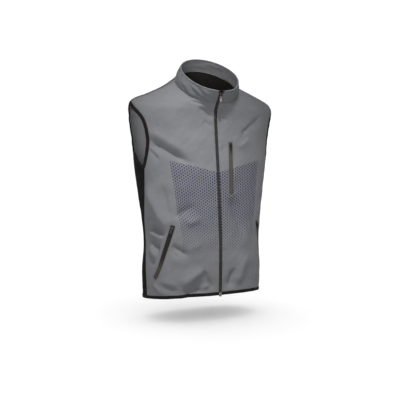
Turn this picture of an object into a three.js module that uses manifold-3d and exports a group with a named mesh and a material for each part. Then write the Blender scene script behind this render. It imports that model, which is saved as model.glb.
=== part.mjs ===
// Insulated softshell vest, zipped up and holding the form that it has when it is worn.
// Millimetres, +Z up, the front faces -Y and the wearer's left is +X.
// The origin lies between the two shoulders, where the vest rests on its wearer.
// The body is lofted through tilted sections from the hem to the neckline, and each panel covers
// a stretch of that loft: an angle round the body (0 at the front, 90 at the wearer's left side)
// and a level, which counts the rows of SECTIONS.
import * as THREE from "three";
import { mergeVertices } from "three/addons/utils/BufferGeometryUtils.js";
import Module from "manifold-3d";

const wasm = await Module();
wasm.setup();

// Cloth
const WALL = 2.4;
const COLLAR_WALL = 3.2;
const FACING_WALL = 1.0;
const SEAM_GAP = 0.3;
const COLLAR_GAP = 0.6;
const FACING_FROM = 9.4;
const FACING_INSET = 1;

// Binding round the armholes and the hem
const BINDING_WIDTH = 8.5;
const BINDING_WALL = 3.4;

// Front zip
const ZIP_HALF = 5.0;
const TAPE_WALL = 1.2;
const TAPE_PARTING = 0.25;
const COIL_HALF = 2.6;
const COIL_WALL = 1.6;
const ZIP_TOP_SPREAD = 9.5;
const SLIDER_SEAT = 0.5;
const BOX_HALF = 4.2;
const BOX_HEIGHT = 12;
const BOX_WALL = 3.4;

// Pocket zips
const POCKET_CORNER = 2;
const POCKET_SEAT = 0.8;
const POCKET_CUT_DEPTH = 60;

// Sections of the body, a row for each level from the hem to the neckline.
// z and side are the height and depth at the wearer's side, front and back the depths at the
// centre, drop and rise how far the centre front lies lower and the centre back higher, and
// square the squareness of each half: 2 is an ellipse.
const SECTIONS = [
  { name: "hem", z: -637, half: 185, front: -105, side: 28, back: 110,
    drop: -15, rise: 0, squareFront: 2.8, squareBack: 2.5 },
  { name: "hip", z: -560, half: 187, front: -107, side: 28, back: 110,
    drop: -8, rise: 0, squareFront: 2.8, squareBack: 2.5 },
  { name: "waist", z: -485, half: 182, front: -107, side: 27, back: 105,
    drop: -3, rise: 0, squareFront: 2.8, squareBack: 2.5 },
  { name: "rib", z: -410, half: 188, front: -103, side: 26, back: 106,
    drop: 0, rise: 0, squareFront: 2.8, squareBack: 2.5 },
  { name: "bust", z: -330, half: 200, front: -97, side: 26, back: 112,
    drop: 0, rise: 0, squareFront: 2.8, squareBack: 2.5 },
  { name: "underarm", z: -255, half: 211, front: -90, side: 24, back: 118,
    drop: 0, rise: 0, squareFront: 2.8, squareBack: 2.5 },
  { name: "blade", z: -180, half: 221, front: -82, side: 16, back: 116,
    drop: 3, rise: 3, squareFront: 2.6, squareBack: 2.4 },
  { name: "chest", z: -110, half: 235, front: -76, side: 10, back: 106,
    drop: 12, rise: 4, squareFront: 2.4, squareBack: 2.2 },
  { name: "shoulder_tip", z: -62, half: 235, front: -76, side: 8, back: 92,
    drop: 27, rise: 2, squareFront: 2.2, squareBack: 2.0 },
  { name: "shoulder", z: -38, half: 187, front: -79, side: 1, back: 78,
    drop: 41, rise: 7, squareFront: 2.0, squareBack: 2.0 },
  { name: "yoke", z: -21, half: 139, front: -83, side: -8, back: 64,
    drop: 50, rise: 21, squareFront: 2.0, squareBack: 2.0 },
  { name: "neckline", z: -10, half: 101, front: -86, side: -18, back: 50,
    drop: 57, rise: 50, squareFront: 2.0, squareBack: 2.0 },
];
const HEM = 0;
const UNDERARM = 5;
const SHOULDER_TIP = 8;
const NECKLINE = SECTIONS.length - 1;

// Top edge of the collar: an ellipse that leans forward as the neck does.
const COLLAR_TOP = { half: 90, front: -113, side: -39, back: 32, z: 24, drop: 56, rise: 50 };
const COLLAR_SWELL = 2.5;

// Side panel: the angles of its front and back seams at each level.
const SIDE_SEAMS = [
  { level: 0, front: 84, back: 110 },
  { level: 1, front: 85.5, back: 109 },
  { level: 2, front: 91, back: 107 },
  { level: 3, front: 89, back: 106 },
  { level: 4, front: 77, back: 103 },
  { level: 5, front: 69, back: 102 },
  { level: 6, front: 66, back: 104 },
];
const SIDE_PANEL_BACK_LEVEL = 5 + 2 / 3;
const SIDE_PANEL_TOP_CURVE = 1.7;

// Shoulder seam: its angle at each level from the shoulder tip to the neckline
const SHOULDER_SEAM = [90, 88, 96, 112];

// Armhole: how far the front and the back are scooped out, and how sharply the front's edge turns
// over the shoulder tip
const ARMHOLE_FRONT_SCOOP = 12;
const ARMHOLE_BACK_SCOOP = 6;
const SCOOP_FULLNESS = 0.7;
const ARMHOLE_TOP_TURN = 7;

// Main folds of the front, a row for each: its two ends on the front as seen from before it,
// its half width and its height, where a minus is a valley.
const FOLDS = [
  { x1: -204, z1: -164, x2: -96, z2: -246, width: 13, height: -10 },
  { x1: -198, z1: -138, x2: -100, z2: -212, width: 16, height: 4 },
  { x1: -203, z1: -198, x2: -172, z2: -234, width: 9, height: -7 },
  { x1: -200, z1: -285, x2: -160, z2: -428, width: 12, height: -10 },
  { x1: -192, z1: -262, x2: -152, z2: -405, width: 16, height: 6 },
  { x1: -190, z1: -306, x2: -146, z2: -318, width: 12, height: 3.5 },
  { x1: -188, z1: -434, x2: -158, z2: -474, width: 9, height: 9 },
  { x1: -186, z1: -462, x2: -162, z2: -500, width: 8, height: -9 },
  { x1: -186, z1: -488, x2: -166, z2: -524, width: 9, height: 7 },
  { x1: -128, z1: -379, x2: -70, z2: -346, width: 12, height: -5 },
  { x1: -130, z1: -418, x2: -66, z2: -396, width: 13, height: 7 },
  { x1: -108, z1: -441, x2: -64, z2: -424, width: 11, height: -3 },
  { x1: -152, z1: -470, x2: -102, z2: -512, width: 11, height: -9 },
  { x1: -108, z1: -496, x2: -54, z2: -460, width: 13, height: 6 },
  { x1: 44, z1: -340, x2: 92, z2: -404, width: 14, height: -6 },
  { x1: -112, z1: -588, x2: -57, z2: -541, width: 14, height: 9 },
  { x1: -64, z1: -547, x2: -12, z2: -622, width: 11, height: -10 },
  { x1: -78, z1: -614, x2: -36, z2: -589, width: 10, height: 6 },
  { x1: -179, z1: -564, x2: -141, z2: -599, width: 10, height: 6 },
  { x1: -158, z1: -618, x2: -118, z2: -583, width: 10, height: -6 },
  { x1: 62, z1: -465, x2: 28, z2: -612, width: 14, height: -8 },
  { x1: 112, z1: -462, x2: 66, z2: -604, width: 17, height: 9 },
  { x1: -62, z1: -70, x2: -10, z2: -108, width: 8, height: -6 },
  { x1: -86, z1: -70, x2: -34, z2: -111, width: 10, height: 5 },
  { x1: 64, z1: -54, x2: 26, z2: -98, width: 9, height: -6 },
  { x1: 84, z1: -50, x2: 42, z2: -96, width: 10, height: 4 },
  { x1: 180, z1: -119, x2: 78, z2: -182, width: 12, height: -7 },
  { x1: 182, z1: -142, x2: 88, z2: -200, width: 14, height: 5 },
];
const FOLD_FREE_OF_ZIP = 8;
const FOLD_FULL_FROM = 22;

// Pocket zips, from the top end to the bottom end, as seen from before the vest
const CHEST_POCKET = { top: [47, -179], bottom: [41, -333], width: 14 };
const HAND_POCKET = { top: [142, -419], bottom: [180, -578], width: 14 };

// Slider and pull tab, in a frame with X across the zip, Y up along it and Z out of the cloth
const SLIDER = { half: 4.2, nose: 2.8, length: 11, plate: 1.4, bridge: 2.0, bridgeSpan: 7.6 };
const BRIDGE_LEG = 1.3;
const BRIDGE_RISE = 3.7;
const PIVOT = { y: 1.6, z: 2.75, half: 0.65 };
const PULL = { armInner: 1.6, armOuter: 3.0, tabStart: 6.2, tabHalf: 3.0, thickness: 1.3 };
const FRONT_PULL_LENGTH = 15;
const POCKET_PULL_LENGTH = 17;
const FRONT_SLIDER_HEIGHT = 0.57;

// Resolution of the walls
const FRONT_COLUMNS = 14;
const BACK_COLUMNS = 20;
const SIDE_COLUMNS = 3;
const COLLAR_COLUMNS = 44;
const COLLAR_ROWS = 5;
const BODY_LEVELS = levelSteps(HEM, UNDERARM, 12).concat(
  levelSteps(UNDERARM, SHOULDER_TIP, 9).slice(1, -1),
  levelSteps(SHOULDER_TIP - 0.13, SHOULDER_TIP, 1),
  levelSteps(SHOULDER_TIP, NECKLINE, 6).slice(1),
);
const ZIP_BODY_STEPS = 34;
const ZIP_COLLAR_STEPS = 6;
const HEM_STEPS = 56;

const MATERIALS = {
  shell: cloth(0x77787c, 0.72),
  black: cloth(0x1a1919, 0.8),
  back: cloth(0x2c2d2f, 0.8),
  binding: cloth(0x211f1e, 0.7),
  zip: cloth(0x2f2c2b, 0.62),
  pocketZip: cloth(0x5a5550, 0.6),
  darkMetal: new THREE.MeshStandardMaterial({ color: 0x26231f, roughness: 0.42, metalness: 0.7 }),
  paleMetal: new THREE.MeshStandardMaterial({ color: 0xb5afa6, roughness: 0.35, metalness: 0.85 }),
};

function cloth(color, roughness) {
  return new THREE.MeshStandardMaterial({ color, roughness, metalness: 0 });
}

function levelSteps(from, to, steps) {
  return Array.from({ length: steps + 1 }, (_, i) => from + ((to - from) * i) / steps);
}

function radians(degrees) {
  return THREE.MathUtils.degToRad(degrees);
}

function smooth(value, low, high) {
  return THREE.MathUtils.smoothstep(value, low, high);
}

// Cubic through a table's rows, with each slope from the rows on either side.
function through(values, position) {
  const last = values.length - 1;
  const i = Math.min(Math.floor(THREE.MathUtils.clamp(position, 0, last)), last - 1);
  const t = position - i;
  const slope = (k) => {
    const next = Math.min(k + 1, last);
    const previous = Math.max(k - 1, 0);
    return (values[next] - values[previous]) / (next - previous);
  };
  const t2 = t * t;
  const t3 = t2 * t;
  return (
    (2 * t3 - 3 * t2 + 1) * values[i] +
    (t3 - 2 * t2 + t) * slope(i) +
    (3 * t2 - 2 * t3) * values[i + 1] +
    (t3 - t2) * slope(i + 1)
  );
}

const COLUMNS = Object.fromEntries(
  Object.keys(SECTIONS[0]).map((key) => [key, SECTIONS.map((row) => row[key])]),
);

function section(key, level) {
  return through(COLUMNS[key], level);
}

function seamAngle(key, level) {
  return through(
    SIDE_SEAMS.map((row) => row[key]),
    level,
  );
}

// A point of the body's smooth form.
function form(angle, level) {
  const s = Math.sin(radians(angle));
  const c = Math.cos(radians(angle));
  const square = section(c > 0 ? "squareFront" : "squareBack", level);
  const reach = Math.pow(Math.pow(Math.abs(s), square) + Math.pow(Math.abs(c), square), -1 / square);
  const inward = Math.abs(c) * reach;
  const side = section("side", level);
  const centre = section(c > 0 ? "front" : "back", level);
  const lift = c > 0 ? -section("drop", level) : section("rise", level);
  return new THREE.Vector3(
    section("half", level) * s * reach,
    side + (centre - side) * inward,
    section("z", level) + lift * inward,
  );
}

function outward(angle, level) {
  const step = 0.4;
  const low = Math.max(level - 0.05, HEM);
  const high = Math.min(level + 0.05, NECKLINE);
  const round = form(angle + step, level).sub(form(angle - step, level));
  const up = form(angle, high).sub(form(angle, low));
  return round.cross(up).normalize();
}

// Angle of the front point that stands x from the middle at a level.
function angleAt(x, level) {
  const square = section("squareFront", level);
  const across = x / section("half", level);
  const inward = Math.pow(1 - Math.pow(Math.abs(across), square), 1 / square);
  return THREE.MathUtils.radToDeg(Math.atan2(across, inward));
}

// Level of the front point that stands x from the middle at height z.
function levelAt(x, z) {
  let low = HEM;
  let high = SHOULDER_TIP;
  for (let i = 0; i < 40; i++) {
    const middle = (low + high) / 2;
    if (form(angleAt(x, middle), middle).z < z) low = middle;
    else high = middle;
  }
  return (low + high) / 2;
}

// How far a point of the front lies from the line between two others, and how far along it.
function besideLine(x, z, x1, z1, x2, z2) {
  const length = Math.hypot(x2 - x1, z2 - z1);
  const along = ((x - x1) * (x2 - x1) + (z - z1) * (z2 - z1)) / (length * length);
  const off = ((x - x1) * (z2 - z1) - (z - z1) * (x2 - x1)) / length;
  const past = Math.max(-along, along - 1, 0) * length;
  return { along, off, distance: Math.hypot(off, past) };
}

// The zips hold the cloth flat beside them, so the folds die away there.
function freedom(x, z) {
  const hand = besideLine(Math.abs(x), z, ...HAND_POCKET.top, ...HAND_POCKET.bottom);
  const chest = besideLine(x, z, ...CHEST_POCKET.top, ...CHEST_POCKET.bottom);
  const nearest = Math.min(Math.abs(x), hand.distance, chest.distance);
  return smooth(nearest, FOLD_FREE_OF_ZIP, FOLD_FULL_FROM);
}

function foldHeight(x, z) {
  const heights = FOLDS.map((fold) => {
    const { along, off } = besideLine(x, z, fold.x1, fold.z1, fold.x2, fold.z2);
    const taper = smooth(along, -0.1, 0.25) * (1 - smooth(along, 0.6, 1.15));
    return fold.height * taper * Math.exp(-((off / fold.width) ** 2));
  });
  return freedom(x, z) * heights.reduce((sum, height) => sum + height, 0);
}

// A point of the cloth, depth millimetres under its outer face. The folds die away towards the sides.
function clothPoint(angle, level, depth = 0) {
  const point = form(angle, level);
  const ahead = smooth(Math.cos(radians(angle)), 0.1, 0.35);
  const fold = ahead > 0 ? ahead * foldHeight(point.x, point.z) : 0;
  return point.addScaledVector(outward(angle, level), fold - depth);
}

// Angle that lies a distance, in millimetres, further round the body.
function shifted(angle, level, distance) {
  const perDegree = form(angle + 0.5, level).distanceTo(form(angle - 0.5, level));
  return angle + distance / perDegree;
}

// Closed wall from a grid of points: at(column, row, inner) gives each face's points.
// A wall whose rows close on themselves is a ring.
function wall(columns, rows, at, ring = false) {
  const across = columns + 1;
  const along = ring ? rows : rows + 1;
  const points = [];
  for (const inner of [false, true]) {
    for (let r = 0; r < along; r++) {
      for (let c = 0; c < across; c++) points.push(at(c, r, inner));
    }
  }
  const id = (c, r, inner) => (inner ? across * along : 0) + (r % along) * across + c;
  const triangles = [];
  const quad = (a, b, c, d) => triangles.push(a, b, c, a, c, d);
  for (let r = 0; r < rows; r++) {
    for (let c = 0; c < columns; c++) {
      quad(id(c, r, false), id(c + 1, r, false), id(c + 1, r + 1, false), id(c, r + 1, false));
      quad(id(c, r, true), id(c, r + 1, true), id(c + 1, r + 1, true), id(c + 1, r, true));
    }
    quad(id(0, r, true), id(0, r, false), id(0, r + 1, false), id(0, r + 1, true));
    quad(id(columns, r, false), id(columns, r, true), id(columns, r + 1, true), id(columns, r + 1, false));
  }
  if (!ring) {
    for (let c = 0; c < columns; c++) {
      quad(id(c, 0, true), id(c + 1, 0, true), id(c + 1, 0, false), id(c, 0, false));
      quad(id(c, rows, false), id(c + 1, rows, false), id(c + 1, rows, true), id(c, rows, true));
    }
  }
  const geometry = new THREE.BufferGeometry().setFromPoints(points);
  geometry.setIndex(triangles);
  return facingOut(geometry);
}

// Turns every face round if the solid is inside out.
function facingOut(geometry) {
  const p = geometry.getAttribute("position");
  const index = geometry.index.array;
  const corner = (i) => new THREE.Vector3().fromBufferAttribute(p, index[i]);
  let volume = 0;
  for (let i = 0; i < index.length; i += 3) {
    volume += corner(i).dot(corner(i + 1).cross(corner(i + 2)));
  }
  if (volume < 0) {
    for (let i = 0; i < index.length; i += 3) {
      [index[i + 1], index[i + 2]] = [index[i + 2], index[i + 1]];
    }
  }
  return geometry;
}

function toSolid(geometry) {
  const bare = geometry.clone();
  bare.deleteAttribute("normal");
  bare.deleteAttribute("uv");
  const merged = mergeVertices(bare, 1e-4);
  return new wasm.Manifold(
    new wasm.Mesh({
      numProp: 3,
      vertProperties: merged.getAttribute("position").array,
      triVerts: new Uint32Array(merged.index.array),
    }),
  );
}

function toGeometry(solid) {
  const mesh = solid.getMesh();
  const geometry = new THREE.BufferGeometry();
  geometry.setAttribute("position", new THREE.BufferAttribute(mesh.vertProperties, 3));
  geometry.setIndex(new THREE.BufferAttribute(mesh.triVerts, 1));
  return geometry;
}

function extrude(outline, depth, curveSegments) {
  return new THREE.ExtrudeGeometry(outline, { depth, bevelEnabled: false, curveSegments });
}

const vest = new THREE.Group();

function add(name, geometry, material, parent = vest) {
  const mesh = new THREE.Mesh(geometry, material);
  mesh.name = name;
  parent.add(mesh);
  return mesh;
}

const SIDES = [
  { name: "right", sign: -1 },
  { name: "left", sign: 1 },
];

function shoulderSeam(level) {
  return through(SHOULDER_SEAM, level - SHOULDER_TIP);
}

// Armhole edge of the front or the back, from the underarm to the shoulder tip.
function armholeFront(level) {
  const rise = (level - UNDERARM) / (SHOULDER_TIP - UNDERARM);
  const turn = Math.pow(rise, ARMHOLE_TOP_TURN);
  const straight = THREE.MathUtils.lerp(seamAngle("front", UNDERARM), shoulderSeam(SHOULDER_TIP), turn);
  return straight - ARMHOLE_FRONT_SCOOP * Math.pow(Math.sin(Math.PI * rise), SCOOP_FULLNESS);
}

function armholeBack(level) {
  const rise = (level - SIDE_PANEL_BACK_LEVEL) / (SHOULDER_TIP - SIDE_PANEL_BACK_LEVEL);
  const low = seamAngle("back", SIDE_PANEL_BACK_LEVEL);
  const straight = THREE.MathUtils.lerp(low, shoulderSeam(SHOULDER_TIP), rise);
  return straight + ARMHOLE_BACK_SCOOP * Math.pow(Math.sin(Math.PI * rise), SCOOP_FULLNESS);
}

function frontEdge(level) {
  if (level <= UNDERARM) return seamAngle("front", level);
  return level < SHOULDER_TIP ? armholeFront(level) : shoulderSeam(level);
}

function backEdge(level) {
  if (level <= SIDE_PANEL_BACK_LEVEL) return seamAngle("back", level);
  return level < SHOULDER_TIP ? armholeBack(level) : shoulderSeam(level);
}

function sidePanelTop(share) {
  return THREE.MathUtils.lerp(UNDERARM, SIDE_PANEL_BACK_LEVEL, Math.pow(share, SIDE_PANEL_TOP_CURVE));
}

function frontWall(sign) {
  return wall(FRONT_COLUMNS, BODY_LEVELS.length - 1, (c, r, inner) => {
    const level = BODY_LEVELS[r];
    const from = angleAt(ZIP_HALF + SEAM_GAP, level);
    const to = shifted(frontEdge(level), level, -SEAM_GAP / 2);
    const angle = THREE.MathUtils.lerp(from, to, c / FRONT_COLUMNS);
    return clothPoint(sign * angle, level, inner ? WALL : 0);
  });
}

function backAngle(column, level) {
  const edge = shifted(backEdge(level), level, SEAM_GAP / 2);
  return THREE.MathUtils.lerp(edge, 360 - edge, column / BACK_COLUMNS);
}

function backWall() {
  return wall(BACK_COLUMNS, BODY_LEVELS.length - 1, (c, r, inner) => {
    const level = BODY_LEVELS[r];
    return clothPoint(backAngle(c, level), level, inner ? WALL : 0);
  });
}

function sideWall(sign) {
  const rows = BODY_LEVELS.filter((level) => level <= UNDERARM);
  return wall(SIDE_COLUMNS, rows.length - 1, (c, r, inner) => {
    const share = c / SIDE_COLUMNS;
    const level = (rows[r] / UNDERARM) * sidePanelTop(share);
    const from = shifted(seamAngle("front", level), level, SEAM_GAP / 2);
    const to = shifted(seamAngle("back", level), level, -SEAM_GAP / 2);
    return clothPoint(sign * THREE.MathUtils.lerp(from, to, share), level, inner ? WALL : 0);
  });
}

// Collar: a band from the neckline to the collar's top edge, open at the zip.
function collarPoint(angle, height) {
  const base = form(angle, NECKLINE);
  const c = Math.cos(radians(angle));
  const top = new THREE.Vector3(
    COLLAR_TOP.half * Math.sin(radians(angle)),
    COLLAR_TOP.side + ((c > 0 ? COLLAR_TOP.front : COLLAR_TOP.back) - COLLAR_TOP.side) * Math.abs(c),
    COLLAR_TOP.z - (c > 0 ? COLLAR_TOP.drop : COLLAR_TOP.rise) * c,
  );
  return base.lerp(top, height);
}

function collarOutward(angle, height) {
  const round = collarPoint(angle + 1, height).sub(collarPoint(angle - 1, height));
  const up = collarPoint(angle, 1).sub(collarPoint(angle, 0));
  return round.cross(up).normalize();
}

// Half the distance between the collar's two ends: they part above the slider.
function collarEnd(height) {
  return ZIP_HALF + SEAM_GAP + (ZIP_TOP_SPREAD - ZIP_HALF) * smooth(height, FRONT_SLIDER_HEIGHT, 1);
}

function collarWall() {
  const lift = COLLAR_GAP / collarPoint(180, 0).distanceTo(collarPoint(180, 1));
  const height = (r) => THREE.MathUtils.lerp(lift, 1, r / COLLAR_ROWS);
  return wall(COLLAR_COLUMNS, COLLAR_ROWS, (c, r, inner) => {
    const h = height(r);
    const half = THREE.MathUtils.lerp(section("half", NECKLINE), COLLAR_TOP.half, h);
    const end = THREE.MathUtils.radToDeg(Math.asin(collarEnd(h) / half));
    const angle = THREE.MathUtils.lerp(end, 360 - end, c / COLLAR_COLUMNS);
    const swell = COLLAR_SWELL * Math.sin(Math.PI * h) * smooth(Math.abs(angle - 180), 178, 150);
    return collarPoint(angle, h).addScaledVector(collarOutward(angle, h), swell - (inner ? COLLAR_WALL : 0));
  });
}

// Facing inside the back of the neck, on the same columns as the back.
function neckFacing() {
  const levels = BODY_LEVELS.filter((level) => level >= FACING_FROM);
  return wall(BACK_COLUMNS - 2 * FACING_INSET, levels.length - 1, (c, r, inner) => {
    const angle = backAngle(FACING_INSET + c, levels[r]);
    return clothPoint(angle, levels[r], WALL + SEAM_GAP + (inner ? FACING_WALL : 0));
  });
}

// Places round an armhole's edge: up the front, down the back and along the side panel's top.
function armholeEdge() {
  const up = BODY_LEVELS.filter((level) => level >= UNDERARM && level <= SHOULDER_TIP);
  const down = up.filter((level) => level > SIDE_PANEL_BACK_LEVEL && level < SHOULDER_TIP).reverse();
  const under = levelSteps(1, 0, SIDE_COLUMNS).slice(0, -1);
  return [
    ...up.map((level) => ({ angle: frontEdge(level), level })),
    ...down.map((level) => ({ angle: backEdge(level), level })),
    ...under.map((share) => {
      const level = sidePanelTop(share);
      const angle = THREE.MathUtils.lerp(seamAngle("front", level), seamAngle("back", level), share);
      return { angle, level };
    }),
  ];
}

// Binding that carries on from the armhole's edge, into the hole. Where the edge turns, the binding
// reaches out further, so that its width stays the same on both sides of the turn.
function armholeBinding(sign) {
  const places = armholeEdge();
  const points = places.map(({ angle, level }) => clothPoint(sign * angle, level));
  const raised = (BINDING_WALL - WALL) / 2;
  return wall(
    1,
    places.length,
    (c, r, inner) => {
      const i = r % places.length;
      const out = outward(sign * places[i].angle, places[i].level);
      const next = points[(i + 1) % points.length];
      const previous = points[(i + points.length - 1) % points.length];
      const before = points[i].clone().sub(previous).cross(out).normalize().multiplyScalar(sign);
      const after = next.clone().sub(points[i]).cross(out).normalize().multiplyScalar(sign);
      const into = before.clone().add(after).normalize();
      const reach = (SEAM_GAP + c * BINDING_WIDTH) / Math.max(into.dot(before), 0.6);
      return points[i]
        .clone()
        .addScaledVector(into, reach)
        .addScaledVector(out, raised - (inner ? BINDING_WALL : 0));
    },
    true,
  );
}

function hemBinding() {
  const end = angleAt(ZIP_HALF + SEAM_GAP, HEM);
  const raised = (BINDING_WALL - WALL) / 2;
  return wall(1, HEM_STEPS, (c, r, inner) => {
    const angle = THREE.MathUtils.lerp(end, 360 - end, r / HEM_STEPS);
    const down = clothPoint(angle, HEM).sub(clothPoint(angle, HEM + 0.2)).normalize();
    return clothPoint(angle, HEM, (inner ? BINDING_WALL : 0) - raised)
      .addScaledVector(down, SEAM_GAP + c * BINDING_WIDTH);
  });
}

// Middle line of the front, from the hem to the collar's top: each place has its point, the
// direction out of the cloth, and how far the zip's halves have parted.
function zipLine() {
  const body = levelSteps(HEM, NECKLINE, ZIP_BODY_STEPS).map((level) => ({
    point: form(0, level),
    out: outward(0, level),
    parted: TAPE_PARTING,
  }));
  const collar = levelSteps(0, 1, ZIP_COLLAR_STEPS).slice(1).map((height) => ({
    point: collarPoint(0, height),
    out: collarOutward(0, height),
    parted: collarEnd(height) - ZIP_HALF - SEAM_GAP + TAPE_PARTING,
  }));
  return body.concat(collar);
}

const ZIP_LINE = zipLine();

function zipTape(sign) {
  return wall(1, ZIP_LINE.length - 1, (c, r, inner) => {
    const { point, out, parted } = ZIP_LINE[r];
    const across = parted + c * (ZIP_HALF - TAPE_PARTING);
    return point
      .clone()
      .addScaledVector(out, inner ? -TAPE_WALL : 0)
      .setX(sign * across);
  });
}

// Closed coil on the inner side of the tapes, up to the slider.
function zipCoil() {
  const closed = ZIP_LINE.slice(0, ZIP_BODY_STEPS + 1);
  const front = TAPE_WALL + SEAM_GAP;
  return wall(1, closed.length - 1, (c, r, inner) => {
    const { point, out } = closed[r];
    return point
      .clone()
      .addScaledVector(out, -front - (inner ? COIL_WALL : 0))
      .setX((2 * c - 1) * COIL_HALF);
  });
}

// Retainer box at the bottom end of the zip, level with the hem's binding.
function zipBox() {
  const { point, out } = ZIP_LINE[0];
  const outline = new THREE.Shape();
  const round = 1.2;
  outline.moveTo(-BOX_HALF, 0);
  outline.lineTo(-BOX_HALF, -BOX_HEIGHT + round);
  outline.absarc(-BOX_HALF + round, -BOX_HEIGHT + round, round, Math.PI, 1.5 * Math.PI, false);
  outline.absarc(BOX_HALF - round, -BOX_HEIGHT + round, round, 1.5 * Math.PI, 2 * Math.PI, false);
  outline.lineTo(BOX_HALF, 0);
  outline.closePath();
  const geometry = extrude(outline, BOX_WALL, 3);
  const mesh = add("front_zip_box", geometry, MATERIALS.paleMetal);
  const up = ZIP_LINE[1].point.clone().sub(point).normalize();
  const seat = point.clone().addScaledVector(up, -SEAM_GAP).addScaledVector(out, -(BOX_WALL + TAPE_WALL) / 2);
  seatOn(mesh, seat, up, out);
}

// Turns an object so that its Y runs up along the zip and its Z points out of the cloth.
function seatOn(object, place, up, out) {
  const across = up.clone().cross(out).normalize();
  const square = out.clone();
  const along = square.clone().cross(across).normalize();
  object.setRotationFromMatrix(new THREE.Matrix4().makeBasis(across, along, square));
  object.position.copy(place);
}

// Slider body: a plate that tapers to its nose, and a bridge over the pull's pivot.
function sliderBody() {
  const half = SLIDER.length / 2;
  const plate = new THREE.Shape([
    new THREE.Vector2(-SLIDER.nose, -half),
    new THREE.Vector2(SLIDER.nose, -half),
    new THREE.Vector2(SLIDER.half, half * 0.3),
    new THREE.Vector2(SLIDER.half, half * 0.75),
    new THREE.Vector2(SLIDER.nose, half),
    new THREE.Vector2(-SLIDER.nose, half),
    new THREE.Vector2(-SLIDER.half, half * 0.75),
    new THREE.Vector2(-SLIDER.half, half * 0.3),
  ]);
  const base = extrude(plate, SLIDER.plate, 1);
  const span = SLIDER.bridgeSpan / 2;
  const rise = SLIDER.plate + BRIDGE_RISE;
  const arch = new THREE.Shape();
  arch.moveTo(-span, SLIDER.plate / 2);
  arch.lineTo(-span, rise - BRIDGE_LEG);
  arch.absarc(-span + BRIDGE_LEG, rise - BRIDGE_LEG, BRIDGE_LEG, Math.PI, Math.PI / 2, true);
  arch.absarc(span - BRIDGE_LEG, rise - BRIDGE_LEG, BRIDGE_LEG, Math.PI / 2, 0, true);
  arch.lineTo(span, SLIDER.plate / 2);
  arch.lineTo(span - BRIDGE_LEG, SLIDER.plate / 2);
  arch.lineTo(span - BRIDGE_LEG, rise - BRIDGE_LEG);
  arch.lineTo(-span + BRIDGE_LEG, rise - BRIDGE_LEG);
  arch.lineTo(-span + BRIDGE_LEG, SLIDER.plate / 2);
  arch.closePath();
  const bridge = extrude(arch, SLIDER.bridge, 3);
  bridge.rotateX(Math.PI / 2).rotateZ(Math.PI / 2);
  bridge.translate(-SLIDER.bridge / 2, 0, 0);
  return toGeometry(toSolid(base).add(toSolid(bridge)));
}

// Pull tab, hanging down from its pivot at the origin: a window leaves the pivot bar and two arms.
function pullTab(length) {
  const bar = PIVOT.half;
  const outline = new THREE.Shape();
  outline.moveTo(-PULL.armOuter, bar);
  outline.lineTo(-PULL.tabHalf, -length + PULL.tabHalf);
  outline.absarc(0, -length + PULL.tabHalf, PULL.tabHalf, Math.PI, 2 * Math.PI, false);
  outline.lineTo(PULL.armOuter, bar);
  outline.closePath();
  const window = new THREE.Path();
  window.moveTo(-PULL.armInner, -bar);
  window.lineTo(PULL.armInner, -bar);
  window.lineTo(PULL.armInner, -PULL.tabStart);
  window.lineTo(-PULL.armInner, -PULL.tabStart);
  window.closePath();
  outline.holes.push(window);
  const geometry = extrude(outline, PULL.thickness, 4);
  geometry.translate(0, 0, -PULL.thickness / 2);
  return geometry;
}

// Slider and pull on a zip. The pull hangs at an angle from the cloth that its place sets.
function addSlider(name, place, up, out, material, pullLength, hang) {
  const group = new THREE.Group();
  seatOn(group, place, up, out);
  vest.add(group);
  add(`${name}_slider`, sliderBody(), MATERIALS.darkMetal, group);
  const pull = add(`${name}_pull`, pullTab(pullLength), material, group);
  pull.position.set(0, PIVOT.y, PIVOT.z);
  pull.rotation.x = -hang;
}

// Front zip
for (const { name, sign } of SIDES) add(`front_zip_tape_${name}`, zipTape(sign), MATERIALS.zip);
add("front_zip_coil", zipCoil(), MATERIALS.zip);
zipBox();
const collarUp = collarPoint(0, 1).sub(collarPoint(0, 0)).normalize();
const collarOut = collarOutward(0, FRONT_SLIDER_HEIGHT);
const sliderPlace = collarPoint(0, FRONT_SLIDER_HEIGHT).addScaledVector(collarOut, SLIDER_SEAT);
const collarLean = Math.atan2(-collarUp.y, collarUp.z);
addSlider("front_zip", sliderPlace, collarUp, collarOut, MATERIALS.paleMetal, FRONT_PULL_LENGTH, collarLean);

// A place on a pocket zip, a share of the way down from its top end.
function pocketPlace({ top, bottom }, sign, share) {
  const x = THREE.MathUtils.lerp(top[0], bottom[0], share);
  const level = levelAt(x, THREE.MathUtils.lerp(top[1], bottom[1], share));
  const angle = sign * angleAt(x, level);
  return { point: clothPoint(angle, level), out: outward(angle, level) };
}

// Frame of a pocket zip: its middle, its length, its way up and its way out.
function pocketFrame(pocket, sign) {
  const high = pocketPlace(pocket, sign, 0).point;
  const low = pocketPlace(pocket, sign, 1).point;
  const up = high.clone().sub(low);
  const length = up.length();
  up.normalize();
  const { out } = pocketPlace(pocket, sign, 0.5);
  out.addScaledVector(up, -out.dot(up)).normalize();
  return { centre: high.add(low).divideScalar(2), length, up, out };
}

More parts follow.
